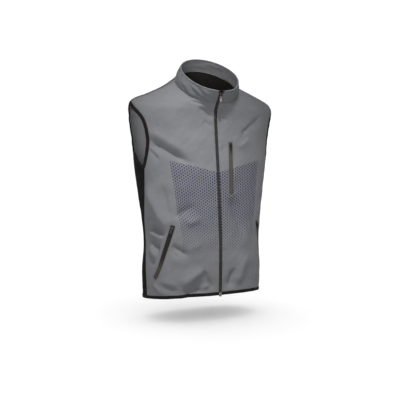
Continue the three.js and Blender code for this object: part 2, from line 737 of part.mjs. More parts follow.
// Prism through the wall at a pocket zip, drawn in from the slot's own edge.
function pocketPrism(frame, width, inset) {
  const x = width / 2 - inset - POCKET_CORNER;
  const y = frame.length / 2 - inset - POCKET_CORNER;
  const outline = new THREE.Shape();
  outline.absarc(x, y, POCKET_CORNER, 0, Math.PI / 2, false);
  outline.absarc(-x, y, POCKET_CORNER, Math.PI / 2, Math.PI, false);
  outline.absarc(-x, -y, POCKET_CORNER, Math.PI, 1.5 * Math.PI, false);
  outline.absarc(x, -y, POCKET_CORNER, 1.5 * Math.PI, 2 * Math.PI, false);
  outline.closePath();
  const geometry = extrude(outline, POCKET_CUT_DEPTH, 2);
  geometry.translate(0, 0, -POCKET_CUT_DEPTH / 2);
  const holder = new THREE.Object3D();
  seatOn(holder, frame.centre, frame.up, frame.out);
  holder.updateMatrix();
  return toSolid(geometry.applyMatrix4(holder.matrix));
}

// Sets a zip in a slot of a front: what the slot takes out becomes the zip's own wall.
function setPocketZip(front, name, pocket, sign) {
  const frame = pocketFrame(pocket, sign);
  const strip = front.intersect(pocketPrism(frame, pocket.width, SEAM_GAP));
  add(`${name}_tape`, toGeometry(strip), MATERIALS.pocketZip);
  const share = SLIDER.length / frame.length;
  const { point, out } = pocketPlace(pocket, sign, share);
  const up = pocketPlace(pocket, sign, share / 2).point.sub(pocketPlace(pocket, sign, share * 1.5).point);
  point.addScaledVector(out, POCKET_SEAT);
  addSlider(name, point, up, out, MATERIALS.darkMetal, POCKET_PULL_LENGTH, 0);
  return front.subtract(pocketPrism(frame, pocket.width, 0));
}

// Panels, and the zips that are set in the fronts
for (const { name, sign } of SIDES) {
  let front = toSolid(frontWall(sign));
  front = setPocketZip(front, `hand_zip_${name}`, HAND_POCKET, sign);
  if (name === "left") front = setPocketZip(front, "chest_zip", CHEST_POCKET, sign);
  add(`front_${name}`, toGeometry(front), MATERIALS.shell);
  add(`side_${name}`, sideWall(sign), MATERIALS.black);
  add(`armhole_binding_${name}`, armholeBinding(sign), MATERIALS.binding);
}
add("back", backWall(), MATERIALS.back);
add("collar", collarWall(), MATERIALS.shell);
add("neck_facing", neckFacing(), MATERIALS.black);
add("hem_binding", hemBinding(), MATERIALS.binding);

export default vest;
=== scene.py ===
"""Looks of an insulated softshell vest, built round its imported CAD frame.

Sizes in the tables are millimetres, in the same frame as the solids: +Z up, the front faces -Y and the
wearer's left is +X. A place on the body is an angle round it (0 at the front, 90 at the wearer's left)
and a level, which counts the rows of SECTIONS from the hem to the neckline.
"""
import math

import bmesh
import bpy
import numpy as np
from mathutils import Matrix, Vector


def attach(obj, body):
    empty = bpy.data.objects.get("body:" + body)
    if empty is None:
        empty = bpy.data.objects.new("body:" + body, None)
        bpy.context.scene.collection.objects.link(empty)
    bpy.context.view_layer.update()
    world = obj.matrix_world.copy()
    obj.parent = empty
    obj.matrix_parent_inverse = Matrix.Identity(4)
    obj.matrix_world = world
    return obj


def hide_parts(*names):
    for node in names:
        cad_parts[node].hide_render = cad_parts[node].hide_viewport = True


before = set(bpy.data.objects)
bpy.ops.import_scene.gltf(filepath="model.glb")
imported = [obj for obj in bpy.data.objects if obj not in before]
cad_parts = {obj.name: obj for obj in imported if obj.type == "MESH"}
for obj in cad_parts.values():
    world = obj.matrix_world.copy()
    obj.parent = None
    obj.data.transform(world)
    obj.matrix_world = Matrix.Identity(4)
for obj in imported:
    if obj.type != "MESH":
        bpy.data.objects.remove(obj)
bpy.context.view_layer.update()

MM = 0.001
BODY = "vest"
scene = bpy.context.scene

# Cloth and seams
WALL = 2.4
COLLAR_WALL = 3.2
SHADE_SHEET_WALL = 1.0
SEAM_GAP = 0.3
SEAM_DIP = 0.7
SEAM_REACH = 3.5
NECK_DIP = 0.6
NECK_HOLD = 14.0
RIM = 1.1
# Degrees by which a panel stops short of its seam
SEAM_TURN = 0.05

# Dark sheet inside the back of the neck, painted shade for the neck's hollow: its levels, its depth in the
# cloth, and the angle of its ends
SHADE_SHEET_LEVELS = (9.4, 10.97)
SHADE_SHEET_DEPTH = WALL + SEAM_GAP + 1.6
SHADE_SHEET_EDGE = 109.0
SHADE_SHEET_SPREAD = 2.0

# Bindings
BINDING_WIDTH = 8.6
BINDING_LAP = 1.6
BINDING_OUT = 0.9
BINDING_IN = 3.1
BINDING_ROUND = 1.3

# Front zip
ZIP_HALF = 5.0
TAPE_WALL = 1.2
TAPE_RECESS = 0.5
TAPE_PARTING = 0.25
TAPE_ROUND = 0.45
COIL_PITCH = 1.5
COIL_WIDTH = 2.9
COIL_SLANT = 0.35
COIL_RADIUS = 0.62
COIL_DEPTH = 0.75
COIL_REACH = 0.95
COIL_STAGGER = 0.35
ZIP_TOP_SPREAD = 9.5
FRONT_SLIDER_HEIGHT = 0.57

# Pocket zips
SLOT_REACH = 14.0
POCKET_RECESS = 0.5
POCKET_END = 0.004
CHEST_POCKET = dict(top=(47.0, -179.0), bottom=(41.0, -333.0), width=14.0)
HAND_POCKET = dict(top=(142.0, -419.0), bottom=(180.0, -578.0), width=14.0)
SIDE_POCKETS = {"right": [HAND_POCKET], "left": [HAND_POCKET, CHEST_POCKET]}

# Stitches
STITCH_PITCH = 3.2
COLLAR_STITCH_PITCH = 2.6
BINDING_STITCH_PITCH = 2.8
STITCH_SHARE = 0.78
STITCH_RADIUS = 0.3
STITCH_LIFT = 0.05
STITCH_IN = 3.2
ZIP_STITCH_IN = 3.6
POCKET_STITCH_OUT = 2.4
BINDING_STITCH_IN = 0.6

# Fineness of the meshes
FRONT_ROWS, FRONT_COLUMNS = 230, 84
BACK_ROWS, BACK_COLUMNS = 190, 110
SIDE_ROWS, SIDE_COLUMNS = 150, 26
COLLAR_COLUMNS = 220
SHADE_SHEET_ROWS, SHADE_SHEET_COLUMNS = 30, 90
ARMHOLE_STEPS, ARMHOLE_STEP = 260, 1.9
HEM_STEPS = 420
ZIP_STEPS, ZIP_COLLAR_STEPS = 240, 30
POCKET_STEPS = 90

COLUMNS = ("z", "half", "front", "side", "back", "drop", "rise", "square_front", "square_back")
SECTIONS = dict(zip(COLUMNS, np.array([
    (-637, 185, -105, 28, 110, -15, 0, 2.8, 2.5),
    (-560, 187, -107, 28, 110, -8, 0, 2.8, 2.5),
    (-485, 182, -107, 27, 105, -3, 0, 2.8, 2.5),
    (-410, 188, -103, 26, 106, 0, 0, 2.8, 2.5),
    (-330, 200, -97, 26, 112, 0, 0, 2.8, 2.5),
    (-255, 211, -90, 24, 118, 0, 0, 2.8, 2.5),
    (-180, 221, -82, 16, 116, 3, 3, 2.6, 2.4),
    (-110, 235, -76, 10, 106, 12, 4, 2.4, 2.2),
    (-62, 235, -76, 8, 92, 27, 2, 2.2, 2.0),
    (-38, 187, -79, 1, 78, 41, 7, 2.0, 2.0),
    (-21, 139, -83, -8, 64, 50, 21, 2.0, 2.0),
    (-10, 101, -86, -18, 50, 57, 50, 2.0, 2.0),
], float).T))
HEM = 0.0
UNDERARM = 5.0
SHOULDER_TIP = 8.0
NECKLINE = 11.0

COLLAR_TOP = dict(half=90, front=-113, side=-39, back=32, z=24, drop=56, rise=50)
COLLAR_SWELL = 2.5

# Angles of the side panel's front and back seams, a row for each level
SIDE_FRONT = (84, 85.5, 91, 89, 77, 69, 66)
SIDE_BACK = (110, 109, 107, 106, 103, 102, 104)
BACK_UNDERARM = 5 + 2 / 3
SIDE_PANEL_TOP_CURVE = 1.7
SHOULDER_SEAM = (90, 88, 96, 112)
SCOOP_FULLNESS = 0.7
# Edges of the front and the back: angles of the side seam, the level where it meets the armhole, the
# armhole's scoop in degrees, and how late it turns out to the shoulder
FRONT_EDGE = (SIDE_FRONT, UNDERARM, -12.0, 7)
BACK_EDGE = (SIDE_BACK, BACK_UNDERARM, 6.0, 1)

# Folds of the front, read off the photograph: two ends, as the distance along the cloth from the
# middle of the front and the height, then the half widths above and below the fold's line, and its
# height, where a minus is a valley
FOLDS = [
    # From the right armhole
    (-217, -170, -94, -238, 9, 15, -9),
    (-212, -148, -98, -211, 15, 12, 3),
    (-219, -201, -185, -231, 6, 9, -4),
    (-218, -185, -187, -208, 5, 5, -1.5),
    # Down the flank
    (-236, -310, -161, -439, 18, 15, 9),
    (-178, -305, -153, -412, 15, 14, -4),
    (-239, -426, -174, -451, 15, 7, -9),
    (-232, -442, -177, -458, 8, 9, 4),
    (-231, -463, -188, -500, 15, 8, -8),
    (-237, -487, -192, -520, 9, 12, 5),
    (-237, -515, -204, -546, 12, 9, -4),
    (-240, -357, -201, -384, 5, 5, -2.5),
    (-245, -393, -198, -411, 5, 6, -3),
    # Across the belly
    (-140, -394, -83, -364, 11, 12, -4.4),
    (-109, -416, -63, -402, 15, 11, 4.4),
    (-150, -479, -104, -508, 9, 7, -6.5),
    (-154, -519, -108, -534, 12, 15, 2),
    (-156, -491, -133, -514, 4, 4, -1.6),
    (-107, -496, -58, -472, 15, 12, 2.5),
    (39, -348, 84, -460, 18, 15, -8),
    # Above the hem
    (-121, -596, -59, -549, 15, 15, 7),
    (-118, -624, -45, -608, 28, 12, -9),
    (-64, -613, -39, -596, 9, 8, 4),
    (-57, -554, -25, -610, 8, 12, -5),
    (-188, -583, -133, -595, 15, 9, 3),
    (-178, -597, -136, -610, 6, 8, -4),
    (-217, -592, -185, -615, 5, 6, 2.5),
    (-199, -614, -156, -625, 9, 9, 2.5),
    (31, -609, 45, -556, 11, 12, -6),
    (54, -602, 91, -515, 18, 18, 5),
    # Under the collar
    (-82, -60, -8, -77, 4, 5, -2.2),
    (-56, -78, -9, -106, 5, 7, -3),
    (-42, -118, -10, -135, 6, 8, -2),
    (17, -88, 44, -65, 4, 6, -2.2),
    (12, -108, 38, -112, 4, 6, -2),
    # From the left armhole
    (87, -155, 169, -103, 7, 12, -4),
    (73, -197, 122, -167, 9, 15, 3),
]
# Distances from a zip where the folds begin and where they are full
ZIP_HOLD = (7.4, 14.0)
# All folds stand this much taller than their rows say, so that they show as much in the softer light here
FOLD_GAIN = 1.5
FOLD_TAPER = (-0.1, 0.25, 0.65, 1.15)
# Share of a fold that is left at the hem, and the heights between which it grows to the whole
HEM_HOLD = 0.3
HEM_HOLD_HEIGHTS = (-640.0, -608.0)
# Sharpness of valleys and of ridges
FOLD_SHARPNESS = (1.35, 1.8)


def smooth(value, low, high):
    t = np.clip((value - low) / (high - low), 0.0, 1.0)
    return t * t * (3 - 2 * t)


def through(values, position):
    """Cubic through a table's rows."""
    values, position = np.asarray(values, float), np.asarray(position, float)
    i = np.clip(np.floor(position).astype(int), 0, len(values) - 2)
    t = position - i
    slope = np.gradient(values)
    return (
        (2 * t**3 - 3 * t**2 + 1) * values[i]
        + (t**3 - 2 * t**2 + t) * slope[i]
        + (3 * t**2 - 2 * t**3) * values[i + 1]
        + (t**3 - t**2) * slope[i + 1]
    )


def section(key, level):
    return through(SECTIONS[key], level)


def form(angle, level):
    """Points of the body's smooth form."""
    angle, level = np.broadcast_arrays(np.asarray(angle, float), np.asarray(level, float))
    s = np.sin(np.radians(angle))
    c = np.cos(np.radians(angle))
    ahead = c > 0
    square = np.where(ahead, section("square_front", level), section("square_back", level))
    reach = (np.abs(s) ** square + np.abs(c) ** square) ** (-1 / square)
    inward = np.abs(c) * reach
    side = section("side", level)
    centre = np.where(ahead, section("front", level), section("back", level))
    lift = np.where(ahead, -section("drop", level), section("rise", level))
    x = section("half", level) * s * reach
    return np.stack([x, side + (centre - side) * inward, section("z", level) + lift * inward], -1)


def unit(v):
    return v / np.linalg.norm(v, axis=-1, keepdims=True)


def run_along(points):
    """Distances along a line, or along each row of a grid."""
    steps = np.linalg.norm(np.diff(points, axis=-2), axis=-1)
    return np.concatenate([np.zeros_like(steps[..., :1]), np.cumsum(steps, -1)], -1)


def outward(angle, level):
    """Direction out of the body."""
    around = form(angle + 0.4, level) - form(angle - 0.4, level)
    up = form(angle, np.minimum(level + 0.05, NECKLINE)) - form(angle, np.maximum(level - 0.05, HEM))
    return unit(np.cross(around, up))


def angle_at(x, level):
    """Angle of the front's point at x on a level."""
    square = section("square_front", level)
    across = x / section("half", level)
    inward = np.maximum(1 - np.abs(across) ** square, 0) ** (1 / square)
    return np.degrees(np.arctan2(across, inward))


def level_at(x, z):
    """Level of the front's point at x and height z."""
    x, z = np.broadcast_arrays(np.asarray(x, float), np.asarray(z, float))
    low, high = np.full(x.shape, HEM), np.full(x.shape, SHOULDER_TIP)
    for _ in range(40):
        middle = (low + high) / 2
        under = form(angle_at(x, middle), middle)[..., 2] < z
        low = np.where(under, middle, low)
        high = np.where(under, high, middle)
    return (low + high) / 2


def beside_line(x, z, x1, z1, x2, z2):
    """Share along a line, offset from it and distance from it."""
    length = math.hypot(x2 - x1, z2 - z1)
    along = ((x - x1) * (x2 - x1) + (z - z1) * (z2 - z1)) / length**2
    off = ((x - x1) * (z2 - z1) - (z - z1) * (x2 - x1)) / length
    past = np.maximum(np.maximum(-along, along - 1), 0) * length
    return along, off, np.hypot(off, past)


def freedom(x, z):
    """The zips hold the cloth flat beside them, so the folds die away there."""
    chest = beside_line(x, z, *CHEST_POCKET["top"], *CHEST_POCKET["bottom"])[2]
    hand = beside_line(np.abs(x), z, *HAND_POCKET["top"], *HAND_POCKET["bottom"])[2]
    nearest = np.minimum(np.minimum(chest, hand), np.abs(x))
    return smooth(nearest, *ZIP_HOLD)


# Length of the front's outline from its middle to a share of its half width, on a typical section
CLOTH_DEPTH = 0.72
CLOTH_SQUARE = 2.8
turn = np.radians(np.linspace(0, 90, 400))
reach = (np.sin(turn) ** CLOTH_SQUARE + np.cos(turn) ** CLOTH_SQUARE) ** (-1 / CLOTH_SQUARE)
OUTLINE_SHARE = np.sin(turn) * reach
OUTLINE_LENGTH = run_along(np.stack([OUTLINE_SHARE, CLOTH_DEPTH * np.cos(turn) * reach], -1))


def along_cloth(x, z):
    """Distance from the middle of the front, along the cloth."""
    half = np.interp(z, SECTIONS["z"], SECTIONS["half"])
    return np.sign(x) * half * np.interp(np.abs(x) / half, OUTLINE_SHARE, OUTLINE_LENGTH)


def folds_at(x, z, folds, taper, sharpness):
    """Height of a set of folds. The taper says where a fold rises and falls, as shares of its length."""
    height = np.zeros_like(x)
    for x1, z1, x2, z2, above, below, tall in folds:
        along, off, _ = beside_line(x, z, x1, z1, x2, z2)
        ends = smooth(along, *taper[:2]) * (1 - smooth(along, *taper[2:]))
        wide = np.where(off < 0, above, below)
        height += tall * ends * np.exp(-(np.abs(off / wide) ** sharpness[int(tall > 0)]))
    return height


def body_fold(angle, points):
    """Height of the folds, which die away towards the sides and the hem."""
    x, z = points[..., 0], points[..., 2]
    ahead = smooth(np.cos(np.radians(angle)), 0.1, 0.35)
    above_hem = HEM_HOLD + (1 - HEM_HOLD) * smooth(z, *HEM_HOLD_HEIGHTS)
    height = folds_at(along_cloth(x, z), z, FOLDS, FOLD_TAPER, FOLD_SHARPNESS)
    return ahead * above_hem * FOLD_GAIN * freedom(x, z) * height


def waves(x, y, seed, count, lengths):
    """Irregular undulation, about one high: a sum of seeded plane waves."""
    rng = np.random.default_rng(seed)
    shortest, longest = (math.log(length) for length in lengths)
    total = np.zeros_like(x)
    for _ in range(count):
        length = math.exp(rng.uniform(shortest, longest))
        turn = rng.uniform(0, 2 * math.pi)
        phase = rng.uniform(0, 2 * math.pi)
        total += np.sin(2 * math.pi / length * (x * math.cos(turn) + y * math.sin(turn)) + phase)
    return total / math.sqrt(count)


# Seams and edges of the panels
def shoulder_seam(level):
    return through(SHOULDER_SEAM, level - SHOULDER_TIP)


def armhole(level, seam, start, scoop, turn):
    """Angle of an armhole's edge, from the side seam to the shoulder's tip."""
    rise = np.clip((level - start) / (SHOULDER_TIP - start), 0, 1)
    low = through(seam, start)
    bulge = np.sin(math.pi * rise).clip(0) ** SCOOP_FULLNESS
    return low + (shoulder_seam(SHOULDER_TIP) - low) * rise**turn + scoop * bulge


def panel_edge(level, *edge):
    """Angle of the outer edge of the front or the back."""
    seam, start = edge[:2]
    if level <= start:
        return float(through(seam, level))
    return float(armhole(level, *edge) if level < SHOULDER_TIP else shoulder_seam(level))


def side_panel_top(share):
    return UNDERARM + (BACK_UNDERARM - UNDERARM) * share**SIDE_PANEL_TOP_CURVE


# Meshes
def set_all(thing, values):
    for key, value in values.items():
        setattr(thing, key, value)
    return thing


def new_object(name, data):
    made = bpy.data.objects.new(name, data)
    scene.collection.objects.link(made)
    return made


def smooth_faces(mesh):
    mesh.polygons.foreach_set("use_smooth", np.full(len(mesh.polygons), True))


def make_object(name, vertices, faces, materials, face_slots=None):
    """A mesh object from millimetre points, turned round if it is inside out."""
    mesh = bpy.data.meshes.new(name)
    mesh.from_pydata((np.asarray(vertices, float) * MM).tolist(), [], faces)
    for material in materials:
        mesh.materials.append(material)
    if face_slots is not None:
        mesh.polygons.foreach_set("material_index", np.asarray(face_slots, np.int32))
    smooth_faces(mesh)
    mesh.update()
    work = bmesh.new()
    work.from_mesh(mesh)
    if work.calc_volume(signed=True) < 0:
        bmesh.ops.reverse_faces(work, faces=work.faces)
        work.to_mesh(mesh)
    work.free()
    return new_object(name, mesh)


def wall_object(name, outer, inner, materials):
    """A closed wall between two grids of points. Its inner face takes the second material."""
    rows, columns = outer.shape[:2]
    front = np.arange(rows * columns).reshape(rows, columns)
    back = front + rows * columns
    faces, slots = [], []
    for slot, *corners in (
        (0, front[:-1, :-1], front[:-1, 1:], front[1:, 1:], front[1:, :-1]),
        (1, back[:-1, :-1], back[1:, :-1], back[1:, 1:], back[:-1, 1:]),
        (0, back[:-1, 0], front[:-1, 0], front[1:, 0], back[1:, 0]),
        (0, front[:-1, -1], back[:-1, -1], back[1:, -1], front[1:, -1]),
        (0, back[0, :-1], back[0, 1:], front[0, 1:], front[0, :-1]),
        (0, front[-1, :-1], front[-1, 1:], back[-1, 1:], back[-1, :-1]),
    ):
        quads = np.stack(corners, -1).reshape(-1, 4).tolist()
        faces += quads
        slots += [slot] * len(quads)
    points = np.concatenate([outer.reshape(-1, 3), inner.reshape(-1, 3)])
    return make_object(name, points, faces, materials, slots)


def tube_faces(rows, count, ring=False):
    """Faces of a closed profile carried along rows, with two ends unless it is a ring."""
    ids = np.arange(rows * count).reshape(rows, count)
    last = rows if ring else rows - 1
    here, above = ids[:last], np.roll(ids, -1, 0)[:last]
    faces = np.stack([here, np.roll(here, -1, 1), np.roll(above, -1, 1), above], -1).reshape(-1, 4).tolist()
    return faces if ring else faces + [ids[0, ::-1].tolist(), ids[-1].tolist()]


def sweep_object(name, points, side, out, profile, material, ring=False):
    """A closed (side, out) profile carried along a line."""
    across, away = np.asarray(profile, float).T[:, None, :, None]
    grid = points[:, None, :] + side[:, None, :] * across + out[:, None, :] * away
    return make_object(name, grid.reshape(-1, 3), tube_faces(*grid.shape[:2], ring), [material])


def rounded_profile(low, high, bottom, top, radius):
    """A rectangle in (side, out) with rounded corners."""
    turns = np.radians(np.arange(0, 360, 90)[:, None] + np.linspace(0, 90, 4))
    left, right, under, over = low + radius, high - radius, bottom + radius, top - radius
    x = np.array([right, left, left, right])[:, None] + radius * np.cos(turns)
    y = np.array([over, over, under, under])[:, None] + radius * np.sin(turns)
    return np.stack([x.ravel(), y.ravel()], -1)


EDGE_STEPS = np.array([0, 0.15, 0.45, RIM, 2.0, 3.4, 5.5])


def spaced(total, count):
    """Distances across a panel, close together at its two edges."""
    middle = np.linspace(EDGE_STEPS[-1], total - EDGE_STEPS[-1], count)
    return np.concatenate([EDGE_STEPS[:-1], middle, total - EDGE_STEPS[-2::-1]])


def row_places(level, start, end, count):
    """Angles of a row's points, and their distances from the row's start."""
    angles = np.linspace(start, end, 240)
    run = run_along(form(angles, level))
    wanted = spaced(run[-1], count)
    return np.interp(wanted, run, angles), wanted


def rim_drop(distance, radius=RIM):
    """How far a rounded edge falls away."""
    inside = np.clip(radius - distance, 0, radius)
    return radius - np.sqrt(np.maximum(radius**2 - inside**2, 0))


def seam_dip(distance):
    return SEAM_DIP * np.exp(-((distance / SEAM_REACH) ** 2))


# Millimetres to a level at the hem and at the neckline, and the rows close under the shoulder's tip
HEM_LEVEL = 77
NECK_LEVEL = 26
TIP_ROWS = np.array([0.13, 0.09, 0.06, 0.04, 0.025, 0.012, 0.004, 0.0])


def body_levels(count):
    """Levels of a panel's rows."""
    hem, neck = EDGE_STEPS / HEM_LEVEL, EDGE_STEPS / NECK_LEVEL
    even = np.linspace(hem[-1], NECKLINE - neck[-1], count)
    return np.unique(np.concatenate([hem, even, SHOULDER_TIP - TIP_ROWS, NECKLINE - neck]))


# Rows of each panel's outer face: distances, points and directions out, for the stitches that lie on it
surfaces = {}


def cloth_panel(name, edges, levels, count, relief, materials):
    """A panel between two edge angles. relief(angle, points, near) gives the height of its cloth."""
    rows = [row_places(level, *edges(level), count) for level in levels]
    angle = np.array([row[0] for row in rows])
    run = np.array([row[1] for row in rows])
    level = np.broadcast_to(np.asarray(levels)[:, None], angle.shape)
    points, normal = form(angle, level), outward(angle, level)
    up = run_along(points[:, count // 2])
    near = {
        "start": run,
        "end": run[:, -1:] - run,
        "hem": np.broadcast_to(up[:, None], run.shape),
        "neck": np.broadcast_to((up[-1] - up)[:, None], run.shape),
    }
    drop = rim_drop(np.minimum.reduce([near["start"], near["end"], near["hem"]]))
    height = relief(angle, points, near)
    outer = points + normal * (height - drop)[..., None]
    inner = points + normal * (height - WALL + drop)[..., None]
    surfaces[name] = (run, points + normal * height[..., None], normal)
    return wall_object(name, outer, inner, materials)


def along_line(points, pitch):
    """Even places along a line, as fractional indices."""
    run = run_along(points)
    return np.interp(np.arange(pitch / 2, run[-1], pitch), run, np.arange(len(points)))


def at(values, places):
    """Values at fractional indices."""
    low = np.floor(places).astype(int)
    high = np.minimum(low + 1, len(values) - 1)
    share = (places - low)[:, None]
    return values[low] * (1 - share) + values[high] * share


# Materials: a helper adds its nodes to the tree that the sockets it is given belong to
SHEEN_ROUGHNESS = 0.45
MOTTLE_SCALE = 420.0
SLOW_SCALE = 9.0
FUZZ_SCALE = 900.0


def set_inputs(node, inputs):
    """Sets a node's inputs to numbers or colours, or joins them to sockets."""
    for key, value in inputs.items():
        if isinstance(value, bpy.types.NodeSocket):
            node.id_data.links.new(value, node.inputs[key])
        else:
            node.inputs[key].default_value = value


def add_node(tree, kind, inputs, output, **settings):
    """One output of a new node."""
    node = set_all(tree.nodes.new(kind), settings)
    set_inputs(node, inputs)
    return node.outputs[output]


def main_shader(material):
    return material.node_tree.nodes["Principled BSDF"]


def node_material(name, roughness, metallic=0.0, sheen=0.0, specular=0.5):
    """A new material and its main shader."""
    material = bpy.data.materials.new(name)
    material.use_nodes = True
    shader = main_shader(material)
    inputs = {"Roughness": roughness, "Metallic": metallic, "Specular IOR Level": specular}
    set_inputs(shader, inputs | {"Sheen Weight": sheen, "Sheen Roughness": SHEEN_ROUGHNESS})
    return material, shader


def object_place(material):
    return add_node(material.node_tree, "ShaderNodeTexCoord", {}, "Object")


def calc(operation, *values):
    """A math node of numbers and sockets, one socket at least."""
    tree = next(value.id_data for value in values if isinstance(value, bpy.types.NodeSocket))
    return add_node(tree, "ShaderNodeMath", dict(enumerate(values)), 0, operation=operation)


def axes(place):
    return [add_node(place.id_data, "ShaderNodeSeparateXYZ", {0: place}, axis) for axis in "XYZ"]


def noise(place, scale, detail=3.0):
    inputs = {"Vector": place, "Scale": scale, "Detail": detail}
    return add_node(place.id_data, "ShaderNodeTexNoise", inputs, "Fac")


def map_range(value, low, high, least=0.0):
    """A share that goes smoothly from its least to 1 as a value goes from low to high."""
    inputs = {"Value": value, "From Min": low, "From Max": high, "To Min": least, "To Max": 1.0}
    return add_node(value.id_data, "ShaderNodeMapRange", inputs, "Result", interpolation_type="SMOOTHSTEP")


def shade(shader, share, dark, light, low=0.3, high=0.7):
    """Colours a shader from dark to light as a share goes from low to high."""
    colour = add_node(share.id_data, "ShaderNodeValToRGB", {"Fac": share}, "Color")
    for element, position, tone in zip(colour.node.color_ramp.elements, (low, high), (dark, light)):
        element.position = position
        element.color = (*tone, 1.0)
    set_inputs(shader, {"Base Color": colour})


def tint(material, share, colour):
    """Mixes a share of a second colour over a material's own."""
    shader = main_shader(material)
    own = shader.inputs["Base Color"].links[0].from_socket
    inputs = {"Factor": share, "A": own, "B": (*colour, 1.0)}
    mixed = add_node(share.id_data, "ShaderNodeMix", inputs, "Result", data_type="RGBA")
    set_inputs(shader, {"Base Color": mixed})


def add_bump(shader, height, distance):
    inputs = {"Height": height, "Strength": 1.0, "Distance": distance * MM}
    set_inputs(shader, {"Normal": add_node(height.id_data, "ShaderNodeBump", inputs, "Normal")})


def weave(place, pitch):
    """Height of a woven face: threads that cross."""
    x, y, z = axes(place)
    turn = 2 * math.pi / (pitch * MM)
    rows = calc("SINE", calc("MULTIPLY", z, turn))
    columns = calc("SINE", calc("MULTIPLY", calc("ADD", x, y), turn))
    return calc("MULTIPLY", rows, columns)


def cloth(name, colour, roughness=0.75, sheen=0.03, pitch=0.9, relief=0.08, variation=0.06, specular=0.12):
    """Woven cloth of one colour, a little mottled."""
    material, shader = node_material(name, roughness, sheen=sheen, specular=specular)
    place = object_place(material)
    mottle = calc("MULTIPLY", noise(place, MOTTLE_SCALE, 2.0), 0.5)
    slow = calc("MULTIPLY", noise(place, SLOW_SCALE), 0.5)
    dark = [c * (1 - variation) for c in colour]
    light = [c * (1 + variation) for c in colour]
    shade(shader, calc("ADD", mottle, slow), dark, light)
    threads = calc("MULTIPLY", weave(place, pitch), 0.5)
    add_bump(shader, calc("ADD", threads, noise(place, FUZZ_SCALE, 2.0)), relief)
    return material


# The print: dots on a lattice of staggered columns, inside a shape that narrows towards the hem
DOT_COLUMN = 7.2
DOT_PITCH = 8.34
DOT_RADIUS = 2.6
DOT_LEAST = 0.42
DOT_EDGE = 1.6
PRINT_SPREAD = 4.0e-6
PRINT_FADE_FROM = -330.0
PRINT_FADE_TO = -580.0
PRINT_FULL_TO = -455.0
PRINT_LEVEL = -290.0
PRINT_CONVERGE = 0.00106
# Height of its top edge across the front, and half its width by height: a slope and the value at 0
PRINT_TOP = (0.235, -268.0)
PRINT_HALF = (0.135, 180.0)


def dot_print(place):
    """Share of the dots' colour at a place."""
    x, y, z = (calc("MULTIPLY", part, 1 / MM) for part in axes(place))
    # The cloth curves back to the sides, so a step across it is longer than a step in x.
    stretch = calc("MULTIPLY_ADD", calc("MULTIPLY", x, x), PRINT_SPREAD, 1.0)
    # Its columns draw together towards the hem.
    narrow = calc("MULTIPLY_ADD", z, PRINT_CONVERGE, 1 - PRINT_LEVEL * PRINT_CONVERGE)
    across = calc("DIVIDE", calc("MULTIPLY", x, stretch), narrow)
    far = calc("ABSOLUTE", x)

    def from_dot(shift_across, shift_up):
        """Distance from the nearest dot of one of the stagger's two lattices."""
        a = calc("PINGPONG", calc("ADD", across, shift_across), DOT_COLUMN)
        b = calc("PINGPONG", calc("ADD", z, shift_up), DOT_PITCH / 2)
        return calc("SQRT", calc("MULTIPLY_ADD", a, a, calc("MULTIPLY", b, b)))

    distance = calc("MINIMUM", from_dot(0.0, 0.0), from_dot(DOT_COLUMN, DOT_PITCH / 2))
    radius = calc("MULTIPLY", map_range(z, PRINT_FADE_TO, PRINT_FADE_FROM, DOT_LEAST), DOT_RADIUS)
    dot = calc("MULTIPLY_ADD", calc("SUBTRACT", radius, distance), DOT_EDGE, 0.5)
    share = calc("MINIMUM", calc("MAXIMUM", dot, 0.0), 1.0)
    limits = (
        map_range(z, PRINT_FADE_TO, PRINT_FULL_TO),
        calc("GREATER_THAN", calc("MULTIPLY_ADD", far, *PRINT_TOP), z),
        calc("GREATER_THAN", calc("MULTIPLY_ADD", z, *PRINT_HALF), far),
        calc("GREATER_THAN", z, PRINT_FADE_TO),
        calc("LESS_THAN", y, 0.0),
    )
    for limit in limits:
        share = calc("MULTIPLY", share, limit)
    return share


NAVY = (0.012, 0.0135, 0.046)
# The hand pockets' tape is painted paler towards its lower end, a painted highlight where it curves, between
# two heights in metres
HAND_TAPE_PAINTED_SHEEN = (0.042, 0.0375, 0.034)
HAND_TAPE_SHEEN_HEIGHTS = (-0.51, -0.552)


def metal(name, colour, roughness):
    material, shader = node_material(name, roughness, metallic=0.9)
    place = object_place(material)
    shade(shader, noise(place, 600.0), [c * 0.75 for c in colour], colour, 0.35, 0.65)
    add_bump(shader, noise(place, 1500.0, 2.0), 0.03)
    return material


def plastic(name, colour, roughness):
    material, shader = node_material(name, roughness)
    place = object_place(material)
    shade(shader, noise(place, 300.0), [c * 0.8 for c in colour], colour)
    add_bump(shader, noise(place, 900.0), 0.04)
    return material


# Cloths: colour, roughness, sheen, pitch of the weave, its relief, variation of shade and specular level
SHELL = cloth("shell_cloth", (0.125, 0.1265, 0.134))
tint(SHELL, dot_print(object_place(SHELL)), NAVY)
# The collar's outside: a darker copy of the shell's cloth, painted shade for the collar that leans forward
# out of the light
COLLAR_PAINTED_SHADE_CLOTH = cloth("collar_painted_shade_cloth", (0.106, 0.1075, 0.114))
# The collar's inside: a lighter copy of the collar cloth, painted light where the inside falls in shade
COLLAR_INSIDE_PAINTED_LIGHT = cloth("collar_inside_painted_light", (0.195, 0.197, 0.207), 0.9, 0.05, 1.4, 0.1)
